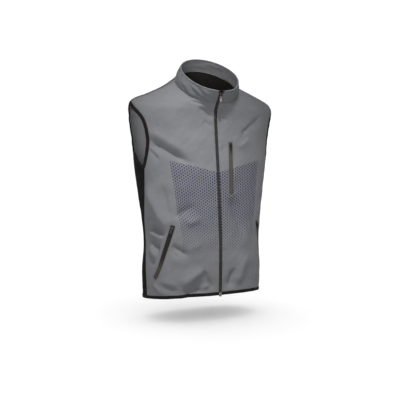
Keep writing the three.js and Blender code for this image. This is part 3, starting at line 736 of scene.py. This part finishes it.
# Near-black cloth of the sheet inside the neck: painted shade for the neck's hollow
NECK_SHADE_CLOTH = cloth("neck_painted_shade_cloth", (0.021, 0.019, 0.0175), 0.85, 0.02, 1.1, 0.1, 0.15, 0.08)
FLEECE = cloth("fleece_lining", (0.44, 0.447, 0.465), 0.95, 0.05, 1.6, 0.1, 0.05)
BLACK_CLOTH = cloth("black_knit", (0.0062, 0.0058, 0.0057), 0.85, 0.01, 1.1, 0.1, 0.15, 0.05)
BACK_CLOTH = cloth("charcoal_knit", (0.075, 0.0755, 0.077), 0.85, 0.02, 1.1, 0.1, 0.12, 0.08)
BINDING = cloth("binding_tape", (0.009, 0.0077, 0.007), 0.8, 0.01, 1.0, 0.12, 0.15, 0.05)
ZIP_TAPE = cloth("zip_tape", (0.020, 0.018, 0.0175), 0.65, 0.02, 1.2, 0.12, 0.12)
POCKET_TAPE = cloth("pocket_tape", (0.052, 0.046, 0.04), 0.6, 0.02, 1.2, 0.12, 0.12)
HAND_TAPE = cloth("hand_tape", (0.0125, 0.011, 0.0098), 0.6, 0.02, 1.2, 0.12, 0.12)
# Painted highlight: the hand tape is mixed towards a paler colour at its lower end, where its curve would
# catch the light
tint(HAND_TAPE, map_range(axes(object_place(HAND_TAPE))[2], *HAND_TAPE_SHEEN_HEIGHTS), HAND_TAPE_PAINTED_SHEEN)
SEWN = (0.7, 0.05, 0.5, 0.05, 0.1)
THREAD = cloth("grey_thread", (0.09, 0.091, 0.096), *SEWN)
COLLAR_THREAD = cloth("collar_thread", (0.05, 0.051, 0.054), *SEWN)
DARK_THREAD = cloth("dark_thread", (0.017, 0.0155, 0.0145), *SEWN)

# Metals and plastics: colour and roughness
DARK_METAL = metal("dark_metal", (0.05, 0.046, 0.042), 0.4)
PALE_METAL = metal("pale_metal", (0.5, 0.46, 0.42), 0.38)
COIL_PLASTIC = plastic("coil_plastic", (0.03, 0.027, 0.026), 0.4)
BOX_PLASTIC = plastic("box_plastic", (0.13, 0.115, 0.1), 0.45)


def keep(made, slot, *nodes, body=BODY):
    """Carries a piece on a body, in place of the solids that it shows."""
    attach(made, body)
    if nodes:
        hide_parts(*nodes)
    return made


SIDES = (("right", -1), ("left", 1))


# Panels
def front_relief(angle, points, near):
    x, z = points[..., 0], points[..., 2]
    free = freedom(x, z)
    height = 0.9 * waves(x, z, seed=3, count=9, lengths=(45, 130)) * free
    height += 0.22 * waves(x, z, seed=5, count=12, lengths=(9, 26)) * free
    # The zip draws its edge up into small ripples.
    ripple = waves(np.zeros_like(z), z, seed=7, count=5, lengths=(16, 34))
    height += 0.45 * ripple * np.exp(-near["start"] / 9)
    height *= smooth(near["end"], 0, 22) * smooth(near["hem"], 0, 18)
    height = (height + body_fold(angle, points)) * smooth(near["neck"], 0, NECK_HOLD)
    return height - seam_dip(near["end"]) - NECK_DIP * seam_dip(near["neck"])


def back_relief(angle, points, near):
    x, z = points[..., 0], points[..., 2]
    height = 1.5 * waves(x, z, seed=13, count=9, lengths=(70, 190))
    height += 0.22 * waves(x, z, seed=15, count=12, lengths=(9, 26))
    waist = np.exp(-(((z + 430) / 70) ** 2))
    height += 2.0 * waist * waves(x * 0.25, z, seed=17, count=6, lengths=(24, 60))
    edge = np.minimum(near["start"], near["end"])
    hold = smooth(np.minimum(edge, near["neck"]), 0, 25) * smooth(near["hem"], 0, 18)
    return height * hold - seam_dip(edge) - NECK_DIP * seam_dip(near["neck"])


def side_relief(angle, points, near):
    edge = np.minimum(near["start"], near["end"])
    pulled = 0.6 * waves(points[..., 1] * 0.4, points[..., 2], seed=21, count=8, lengths=(16, 60))
    return pulled * smooth(edge, 0, 12) + body_fold(angle, points) - seam_dip(edge)


def on_front(x, z):
    """Points of the front at x and height z, with directions out of it."""
    level = level_at(x, z)
    angle = angle_at(x, level)
    return form(angle, level), outward(angle, level)


def pocket_places(sign, pocket, shares):
    """Points along a pocket zip, with directions out of the cloth and across the zip."""
    top, bottom = np.array(pocket["top"]), np.array(pocket["bottom"])
    x, z = (top + (bottom - top) * shares[:, None]).T
    point, out = on_front(sign * x, z)
    return point, out, unit(np.cross(unit(np.gradient(point, axis=0)), out))


def pocket_seam(sign, pocket, grow):
    """The line of stitches round a pocket's slot."""
    margin = grow / math.dist(pocket["top"], pocket["bottom"])
    point, _, across = pocket_places(sign, pocket, np.linspace(-margin, 1 + margin, 60))
    aside = across * (pocket["width"] / 2 + grow)
    one, other = point + aside, point - aside
    ring = np.concatenate([one, other[::-1], one[:1]])
    even = at(ring, along_line(ring, 1.0))
    return on_front(even[:, 0], even[:, 2])


def slot_cutter(sign, pocket):
    """A bar through the wall, along a pocket zip."""
    point, out, across = pocket_places(sign, pocket, np.linspace(0, 1, 25))
    half = pocket["width"] / 2
    profile = [(half, SLOT_REACH), (-half, SLOT_REACH), (-half, -SLOT_REACH), (half, -SLOT_REACH)]
    return sweep_object("slot_cutter", point, across, out, profile, SHELL)


def cut_slots(panel, cutters):
    for cutter in cutters:
        modify(panel, "BOOLEAN", operation="DIFFERENCE", solver="EXACT", object=cutter)
        bpy.data.objects.remove(cutter)
    smooth_faces(panel.data)
    panel.data.set_sharp_from_angle(angle=math.radians(50))


def modify(made, kind, **values):
    """Gives an object the mesh that a modifier makes of it."""
    set_all(made.modifiers.new("modifier", kind), values)
    graph = bpy.context.evaluated_depsgraph_get()
    mesh = bpy.data.meshes.new_from_object(made.evaluated_get(graph))
    old = made.data
    made.modifiers.clear()
    made.data = mesh
    mesh.name = made.name
    bpy.data.meshes.remove(old)


FRONT_LEVELS = body_levels(FRONT_ROWS)
BACK_LEVELS = body_levels(BACK_ROWS)
for side_name, sign in SIDES:
    def front_edges(level):
        start = float(angle_at(ZIP_HALF + SEAM_GAP, level))
        return sign * start, sign * (panel_edge(level, *FRONT_EDGE) - SEAM_TURN)

    panel_name = f"front_panel_{side_name}"
    front = cloth_panel(panel_name, front_edges, FRONT_LEVELS, FRONT_COLUMNS, front_relief, [SHELL, FLEECE])
    cut_slots(front, [slot_cutter(sign, pocket) for pocket in SIDE_POCKETS[side_name]])
    keep(front, "shell_grey", f"front_{side_name}")

    near_hem = EDGE_STEPS / HEM_LEVEL
    side_levels = np.concatenate([near_hem[:-1], np.linspace(near_hem[-1], UNDERARM, SIDE_ROWS)])
    share = np.linspace(0, 1, SIDE_COLUMNS)[None, :]
    level = side_levels[:, None] / UNDERARM * side_panel_top(share)
    front_angle = through(SIDE_FRONT, level) + SEAM_TURN
    angle = sign * (front_angle + (through(SIDE_BACK, level) - SEAM_TURN - front_angle) * share)
    points, normal = form(angle, level), outward(angle, level)
    run = run_along(points)
    height = side_relief(angle, points, {"start": run, "end": run[:, -1:] - run})[..., None]
    outer, inner = points + normal * height, points + normal * (height - WALL)
    panel = wall_object(f"side_panel_{side_name}", outer, inner, [BLACK_CLOTH, FLEECE])
    keep(panel, "side_black", f"side_{side_name}")


def back_edges(level):
    edge = panel_edge(level, *BACK_EDGE) + SEAM_TURN
    return edge, 360 - edge


back = cloth_panel("back_panel", back_edges, BACK_LEVELS, BACK_COLUMNS, back_relief, [BACK_CLOTH, FLEECE])
keep(back, "back_charcoal", "back")


# Collar
def collar_point(angle, height):
    base = form(angle, NECKLINE)
    s, c = np.sin(np.radians(angle)), np.cos(np.radians(angle))
    half, front, side, back, z, drop, rise = COLLAR_TOP.values()
    y = side + (np.where(c > 0, front, back) - side) * np.abs(c)
    top = np.stack([half * s, y, z - np.where(c > 0, drop, rise) * c], -1)
    return base + (top - base) * np.asarray(height)[..., None]


def collar_outward(angle, height):
    around = collar_point(angle + 1, height) - collar_point(angle - 1, height)
    up = collar_point(angle, np.ones_like(height)) - collar_point(angle, np.zeros_like(height))
    return unit(np.cross(around, up))


def collar_end(height):
    """Half the distance between the collar's two ends: they part above the slider."""
    return ZIP_HALF + SEAM_GAP + (ZIP_TOP_SPREAD - ZIP_HALF) * smooth(height, FRONT_SLIDER_HEIGHT, 1.0)


def collar_grid(heights):
    height = np.broadcast_to(heights[:, None], (len(heights), COLLAR_COLUMNS))
    half = section("half", NECKLINE) + (COLLAR_TOP["half"] - section("half", NECKLINE)) * height
    end = np.degrees(np.arcsin(collar_end(height) / half))
    return end + (360 - 2 * end) * np.linspace(0, 1, COLLAR_COLUMNS)[None, :], height


# Creases of the collar: two ends, as angle and share of its height, then the half widths and the height
COLLAR_FOLDS = np.array([
    (-66, 0.72, -24, 0.10, 5, 5, -2.6),
    (-50, 0.84, -12, 0.26, 5, 5, -2.2),
    (-78, 0.55, -42, 0.06, 6, 6, 2.2),
    (-34, 0.72, -8, 0.46, 5, 5, 2.4),
    (44, 0.70, 10, 0.18, 5, 5, -2.0),
    (58, 0.52, 22, 0.08, 6, 6, 1.8),
    (-118, 0.80, -92, 0.20, 6, 6, -1.6),
    (150, 0.75, 205, 0.35, 7, 7, -1.4),
], float)
# Millimetres round the collar to a degree of turn, and the height of its band
COLLAR_TURN = 1.6
COLLAR_BAND = 55.0
COLLAR_TAPER = (-0.15, 0.25, 0.7, 1.15)
COLLAR_SHARPNESS = (2, 2)
# The seam under the collar's top edge
TOP_SEAM = 6.0
TOP_SEAM_DIP = 0.55
TOP_SEAM_REACH = 1.3


def collar_fold(angle, height):
    folds = COLLAR_FOLDS * [COLLAR_TURN, COLLAR_BAND, COLLAR_TURN, COLLAR_BAND, 1, 1, 1]
    turned = np.where(angle > 210, angle - 360, angle) * COLLAR_TURN
    return folds_at(turned, height * COLLAR_BAND, folds, COLLAR_TAPER, COLLAR_SHARPNESS)


def collar_relief(angle, height):
    arch = np.sin(math.pi * height)
    ends = smooth(180 - np.abs(angle - 180), 2, 30)
    crease = 0.8 * waves(angle, height * 60, seed=31, count=8, lengths=(25, 80)) + collar_fold(angle, height)
    ripple = 0.3 * waves(angle, height * 20, seed=33, count=6, lengths=(7, 16))
    held = smooth(height, 0, 0.2) * smooth(1 - height, 0, 0.2)
    return ends * (COLLAR_SWELL * arch + crease * held) + ripple * arch


seam_rows = 1 - (TOP_SEAM + np.linspace(-2.4, 2.4, 9)) / COLLAR_BAND
collar_heights = np.unique(np.concatenate(
    [[0.0, 0.02, 0.05, 0.1], np.linspace(0.15, 0.84, 24), seam_rows, [0.945, 0.965, 0.985, 0.996, 1.0]]
))
angle, height = collar_grid(collar_heights)
points, normal = collar_point(angle, height), collar_outward(angle, height)
relief = collar_relief(angle, height)
band = np.linalg.norm(points[-1] - points[0], axis=-1)[None, :]
from_top = (1 - height) * band
drop = rim_drop(from_top, COLLAR_WALL / 2)
groove = TOP_SEAM_DIP * np.exp(-(((from_top - TOP_SEAM) / TOP_SEAM_REACH) ** 2))
dip = groove + NECK_DIP * seam_dip(height * band)
outer = points + normal * (relief - drop - dip)[..., None]
inner = points + normal * (relief - COLLAR_WALL + drop + groove)[..., None]
# The collar's outside takes a darker copy of the shell cloth, painted shade, and its inside a lighter copy,
# painted light
collar = wall_object("collar_band", outer, inner, [COLLAR_PAINTED_SHADE_CLOTH, COLLAR_INSIDE_PAINTED_LIGHT])
keep(collar, "shell_grey", "collar")
row = int(np.argmin(np.abs(collar_heights - (1 - TOP_SEAM / COLLAR_BAND))))
collar_seams = [(outer[row, 4:-4], normal[row, 4:-4]), (inner[row, 4:-4], -normal[row, 4:-4])]

# Dark sheet inside the back of the neck: painted shade for the neck's hollow
level = np.linspace(*SHADE_SHEET_LEVELS, SHADE_SHEET_ROWS)[:, None]
edge = SHADE_SHEET_EDGE + (NECKLINE - level) * SHADE_SHEET_SPREAD
angle = edge + (360 - 2 * edge) * np.linspace(0, 1, SHADE_SHEET_COLUMNS)[None, :]
level = np.broadcast_to(level, angle.shape)
points, normal = form(angle, level), outward(angle, level)
outer = points - normal * SHADE_SHEET_DEPTH
neck_shade_sheet = wall_object("neck_painted_shade_sheet", outer, outer - normal * SHADE_SHEET_WALL, [NECK_SHADE_CLOTH] * 2)
keep(neck_shade_sheet, "side_black", "neck_facing")


# Bindings
def armhole_places(sign, steps=160):
    """The armhole's edge: up the front, down the back and along the side panel's top."""
    climb = 1 - (1 - np.linspace(0, 1, steps)) ** 3
    up = UNDERARM + (SHOULDER_TIP - UNDERARM) * climb
    down = (BACK_UNDERARM + (SHOULDER_TIP - BACK_UNDERARM) * climb)[-2::-1]
    share = np.linspace(1, 0, 24)[1:-1]
    under = side_panel_top(share)
    low, high = through(SIDE_FRONT, under), through(SIDE_BACK, under)
    angle = np.concatenate([armhole(up, *FRONT_EDGE), armhole(down, *BACK_EDGE), low + (high - low) * share])
    return sign * angle, np.concatenate([up, down, under])


def ring_even(points, count):
    """Even places round a closed line, as fractional indices."""
    closed = np.concatenate([points, points[:1]])
    run = run_along(closed)
    return np.interp(np.linspace(0, run[-1], count, endpoint=False), run, np.arange(len(closed)))


def folded(angle, level):
    """Points of the folded cloth, with directions out of it."""
    points, out = form(angle, level), outward(angle, level)
    return points + out * body_fold(angle, points)[:, None], out


BINDING_PROFILE = rounded_profile(-BINDING_LAP, BINDING_WIDTH, -BINDING_IN, BINDING_OUT, BINDING_ROUND)
binding_seams = []


def bind(name, node, points, side, out, ripple, ring):
    """A binding along an edge of the cloth, with its line of stitches."""
    points = points + out * ripple[:, None]
    binding_seams.append((points + side * BINDING_STITCH_IN + out * BINDING_OUT, out))
    return keep(sweep_object(name, points, side, out, BINDING_PROFILE, BINDING, ring), "binding_black", node)


for side_name, sign in SIDES:
    angle, level = armhole_places(sign)
    wanted = ring_even(form(angle, level), ARMHOLE_STEPS)
    wrap = np.arange(len(angle) + 1)
    angle = np.interp(wanted, wrap, np.append(angle, angle[0]))
    level = np.interp(wanted, wrap, np.append(level, level[0]))
    points, out = folded(angle, level)
    along = unit(np.roll(points, -2, 0) - np.roll(points, 2, 0))
    side = unit(np.cross(along, out)) * sign
    run = np.arange(float(ARMHOLE_STEPS)) * ARMHOLE_STEP
    ripple = 0.35 * waves(run, np.zeros_like(run), seed=41 + sign, count=6, lengths=(12, 40))
    node = f"armhole_binding_{side_name}"
    ring = bind(f"armhole_tape_{side_name}", node, points, side, out, ripple, True)

end = float(angle_at(ZIP_HALF + SEAM_GAP, HEM))
angle = np.linspace(end, 360 - end, HEM_STEPS)
level = np.full_like(angle, HEM)
points, out = folded(angle, level)
down = unit(form(angle, level) - form(angle, level + 0.2))
ripple = 0.4 * waves(points[:, 0], points[:, 1], seed=45, count=7, lengths=(14, 60))
hem = bind("hem_tape", "hem_binding", points, down, out, ripple, False)

# Front zip: its line, the directions out and how far its halves have parted
levels = np.linspace(HEM, NECKLINE, ZIP_STEPS)
heights = np.linspace(0, 1, ZIP_COLLAR_STEPS)[1:]
zero, none = np.zeros_like(levels), np.zeros_like(heights)
points = np.concatenate([form(zero, levels), collar_point(none, heights)])
out = np.concatenate([outward(zero, levels), collar_outward(none, heights)])
parted = TAPE_PARTING + np.concatenate([zero, collar_end(heights) - ZIP_HALF - SEAM_GAP])
right = np.broadcast_to([1.0, 0.0, 0.0], points.shape)
tape_profile = rounded_profile(0, ZIP_HALF - TAPE_PARTING, -TAPE_WALL - TAPE_RECESS, -TAPE_RECESS, TAPE_ROUND)
for side_name, sign in SIDES:
    edge = points + right * (sign * parted)[:, None]
    tape = sweep_object(f"front_tape_{side_name}", edge, right * sign, out, tape_profile, ZIP_TAPE)
    keep(tape, "zip_black", f"front_zip_tape_{side_name}")
    panel = bpy.data.objects[f"front_panel_{side_name}"]


def capsules(name, centres, ways, radius, material, sides=6):
    """Short rounded bars, each along its own way, in one mesh."""
    centres, ways = np.concatenate(centres), np.concatenate(ways)
    axis = unit(ways)
    helper = np.where(np.abs(axis[:, 2:3]) < 0.9, [[0.0, 0.0, 1.0]], [[1.0, 0.0, 0.0]])
    first = unit(np.cross(axis, helper))
    second = np.cross(axis, first)
    rings = ((-0.5, 0.45), (-0.34, 1.0), (0.34, 1.0), (0.5, 0.45))
    points = np.stack([
        centres + ways * place + radius * wide * (first * math.cos(turn) + second * math.sin(turn))
        for place, wide in rings
        for turn in np.linspace(0, 2 * math.pi, sides, endpoint=False)
    ], 1)
    count = points.shape[1]
    faces = tube_faces(len(rings), sides)
    every = [[k * count + v for v in face] for k in range(len(points)) for face in faces]
    return make_object(name, points.reshape(-1, 3), every, [material])


places = along_line(points, COIL_PITCH)
behind = at(points, places) - at(out, places) * (TAPE_WALL + TAPE_RECESS + COIL_DEPTH)
stagger = np.where(np.arange(len(places)) % 2 == 0, 0.0, COIL_STAGGER)[:, None]
reach = at(parted[:, None], places) + COIL_REACH - stagger
centres, ways = [], []
for sign in (-1, 1):
    centres.append(behind + np.array([1.0, 0.0, 0.0]) * (sign * reach))
    ways.append(np.tile([COIL_WIDTH * sign, 0.0, COIL_SLANT], (len(places), 1)))
coil = capsules("front_coil", centres, ways, COIL_RADIUS, COIL_PLASTIC)
keep(coil, "zip_black", "front_zip_coil")


# Pocket zips
def pocket_zip(name, sign, pocket, node):
    """A pocket's zip: two tapes that meet at a groove, in one strip."""
    point, out, across = pocket_places(sign, pocket, np.linspace(POCKET_END, 1 - POCKET_END, POCKET_STEPS))
    point = point - out * POCKET_RECESS
    half = pocket["width"] / 2 - SEAM_GAP
    right_half = [(0, -0.55), (0.3, -0.1), (0.8, 0.15), (half - 0.5, 0.1), (half, -0.3), (half, -1.3)]
    profile = [(-x, y) for x, y in right_half[::-1]] + right_half[1:]
    material = POCKET_TAPE if pocket is CHEST_POCKET else HAND_TAPE
    made = sweep_object(name, point, across, out, profile[::-1], material)
    keep(made, "pocket_zip", node)


pocket_zip("chest_tape", 1, CHEST_POCKET, "chest_zip_tape")
pocket_zip("hand_tape_right", -1, HAND_POCKET, "hand_zip_right_tape")
pocket_zip("hand_tape_left", 1, HAND_POCKET, "hand_zip_left_tape")


# Stitches
def panel_line(name, side, distance, low, high):
    """A line some way in from a panel's edge, between two rows."""
    line = []
    for run, points, out in list(zip(*surfaces[name]))[low:high]:
        where = distance if side == "start" else run[-1] - distance
        line.append([[np.interp(where, run, values[:, k]) for k in range(3)] for values in (points, out)])
    points, out = np.array(line).transpose(1, 0, 2)
    return points, unit(out)


# Rows that the stitches leave free at the hem and the neckline, and where a seam meets the armhole
EDGE_ROWS = 4
ARMHOLE_ROWS = 2


def seam_lines(name, side, levels, top):
    """The lines along a panel's seams: from the hem up to a level, and along the shoulder."""
    low = int(np.searchsorted(levels, top)) - ARMHOLE_ROWS
    high = int(np.searchsorted(levels, SHOULDER_TIP)) + ARMHOLE_ROWS
    return [
        panel_line(name, side, STITCH_IN, EDGE_ROWS, low),
        panel_line(name, side, STITCH_IN, high, len(levels) - EDGE_ROWS),
    ]


def sew(name, lines, material, slot, pitch=STITCH_PITCH):
    """Stitches along lines of places, in one piece."""
    centres, ways = [], []
    for points, out in lines:
        places = along_line(points, pitch)
        ahead = at(points, np.minimum(places + 0.02, len(points) - 1))
        behind = at(points, np.maximum(places - 0.02, 0))
        ways.append(unit(ahead - behind) * pitch * STITCH_SHARE)
        centres.append(at(points, places) + unit(at(out, places)) * STITCH_LIFT)
    keep(capsules(name, centres, ways, STITCH_RADIUS, material), slot)


for side_name, sign in SIDES:
    panel = f"front_panel_{side_name}"
    lines = [panel_line(panel, "start", ZIP_STITCH_IN, EDGE_ROWS, len(FRONT_LEVELS) - EDGE_ROWS)]
    lines += seam_lines(panel, "end", FRONT_LEVELS, UNDERARM)
    lines += [pocket_seam(sign, pocket, POCKET_STITCH_OUT) for pocket in SIDE_POCKETS[side_name]]
    sew(f"front_stitches_{side_name}", lines, THREAD, "shell_grey")
sew("collar_stitches", collar_seams, COLLAR_THREAD, "shell_grey", COLLAR_STITCH_PITCH)
sew("binding_stitches", binding_seams, DARK_THREAD, "binding_black", BINDING_STITCH_PITCH)
back_seams = []
for edge_name in ("start", "end"):
    back_seams += seam_lines("back_panel", edge_name, BACK_LEVELS, BACK_UNDERARM)
sew("back_stitches", back_seams, DARK_THREAD, "back_charcoal")


# Sliders, pulls and box: the solids with their edges rounded
METAL_ROUND = 0.25
BOX_ROUND = 0.5


def softened(node, name, width, material, body, slot):
    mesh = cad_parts[node].data.copy()
    made = new_object(name, mesh)
    mesh.materials.clear()
    mesh.materials.append(material)
    work = bmesh.new()
    work.from_mesh(mesh)
    bmesh.ops.remove_doubles(work, verts=work.verts, dist=1e-6)
    bmesh.ops.dissolve_limit(work, angle_limit=math.radians(2), verts=work.verts, edges=work.edges)
    work.to_mesh(mesh)
    work.free()
    modify(made, "BEVEL", width=width * MM, segments=3, limit_method="ANGLE", angle_limit=math.radians(35))
    smooth_faces(made.data)
    made.data.polygons.foreach_set("material_index", np.zeros(len(made.data.polygons), np.int32))
    keep(made, slot, node, body=body)


for zip_name in ("front_zip", "chest_zip", "hand_zip_right", "hand_zip_left"):
    slider, pull = f"{zip_name}_slider", f"{zip_name}_pull"
    softened(slider, f"{slider}_body", METAL_ROUND, DARK_METAL, BODY, "slider_dark")
    finish, slot = (PALE_METAL, "pull_pale") if zip_name == "front_zip" else (DARK_METAL, "slider_dark")
    softened(pull, f"{pull}_tab", METAL_ROUND, finish, pull, slot)
softened("front_zip_box", "front_zip_end_box", BOX_ROUND, BOX_PLASTIC, BODY, "box_taupe")

# Floor, light and camera, in metres
FLOOR_Z = -0.708
FLOOR_HALF = 30
FLOOR_GLOW = 0.22
WORLD_LIGHT = 0.4
WORLD_SEEN = 0.65
WHITE = (1.0, 1.0, 1.0, 1.0)


def camera_ray(tree):
    return add_node(tree, "ShaderNodeLightPath", {}, "Is Camera Ray")


def floor_material():
    """White, with a glow that only the camera sees, so the floor sends less light up at the vest."""
    material, shader = node_material("floor_white", 0.9, specular=0.0)
    glow = calc("MULTIPLY", camera_ray(material.node_tree), FLOOR_GLOW)
    inputs = {"Base Color": (0.9, 0.9, 0.9, 1.0), "Emission Color": WHITE, "Emission Strength": glow}
    set_inputs(shader, inputs)
    return material


floor_mesh = bpy.data.meshes.new("floor")
floor_corners = [(x * FLOOR_HALF, y * FLOOR_HALF, FLOOR_Z) for x, y in ((-1, -1), (1, -1), (1, 1), (-1, 1))]
floor_mesh.from_pydata(floor_corners, [], [(0, 1, 2, 3)])
floor_mesh.materials.append(floor_material())
floor = new_object("floor", floor_mesh)

world = bpy.data.worlds.new("studio")
scene.world = world
world.use_nodes = True
strength = calc("MULTIPLY_ADD", camera_ray(world.node_tree), WORLD_SEEN, WORLD_LIGHT)
set_inputs(world.node_tree.nodes["Background"], {"Color": WHITE, "Strength": strength})

# The floor has a soft light of its own, and the other lamps light the vest alone
floor_only = bpy.data.collections.new("floor_only")
floor_only.objects.link(floor)
vest_only = bpy.data.collections.new("vest_only")
vest_only.objects.link(floor)
vest_only.collection_objects[0].light_linking.link_state = "EXCLUDE"


def lamp(name, kind, lights, **values):
    """A lamp that lights one of the two collections alone."""
    made = new_object(name, set_all(bpy.data.lights.new(name, kind), values))
    made.light_linking.receiver_collection = lights
    return made


def aim(made, place, target):
    made.location = place
    made.rotation_euler = (Vector(target) - Vector(place)).to_track_quat("-Z", "Y").to_euler()


cone = math.radians(16.2)
key = lamp("key", "SPOT", vest_only, energy=355.0, spot_size=cone, spot_blend=1.0, shadow_soft_size=0.17)
aim(key, (-0.45, -0.97, 1.6), (-0.05, -0.1, -0.25))
fill = lamp("fill", "AREA", vest_only, energy=17.5, shape="DISK", size=0.8)
aim(fill, (-1.5, -1.7, 0.0), (0, 0, -0.2))
overhead = lamp("overhead", "SUN", vest_only, energy=0.5, angle=math.radians(50))
overhead.rotation_euler = np.radians((8, -2, 0))
floor_light = lamp("floor_light", "SUN", floor_only, energy=1.85, angle=math.radians(175))
floor_light.rotation_euler = np.radians((-10, 5, 0))

IMAGE_WIDTH = 400
FOCAL_PIXELS = 746.0
SENSOR_WIDTH = 36.0
CAMERA_AZIMUTH = math.radians(-28.0)
CAMERA_DISTANCE = 2.3
CAMERA_ROUND_Y = 0.03
CAMERA_Z = -0.2
CAMERA_PITCH = math.radians(-3.9)
camera_data = bpy.data.cameras.new("camera")
camera_data.sensor_width = SENSOR_WIDTH
camera_data.lens = SENSOR_WIDTH * FOCAL_PIXELS / IMAGE_WIDTH
camera_data.shift_x = 1.0 / IMAGE_WIDTH
camera = new_object("camera", camera_data)
camera.location = (
    CAMERA_DISTANCE * math.sin(CAMERA_AZIMUTH),
    CAMERA_ROUND_Y - CAMERA_DISTANCE * math.cos(CAMERA_AZIMUTH),
    CAMERA_Z,
)
camera.rotation_euler = (math.radians(90) + CAMERA_PITCH, 0, CAMERA_AZIMUTH)
scene.camera = camera
scene.view_settings.view_transform = "Standard"
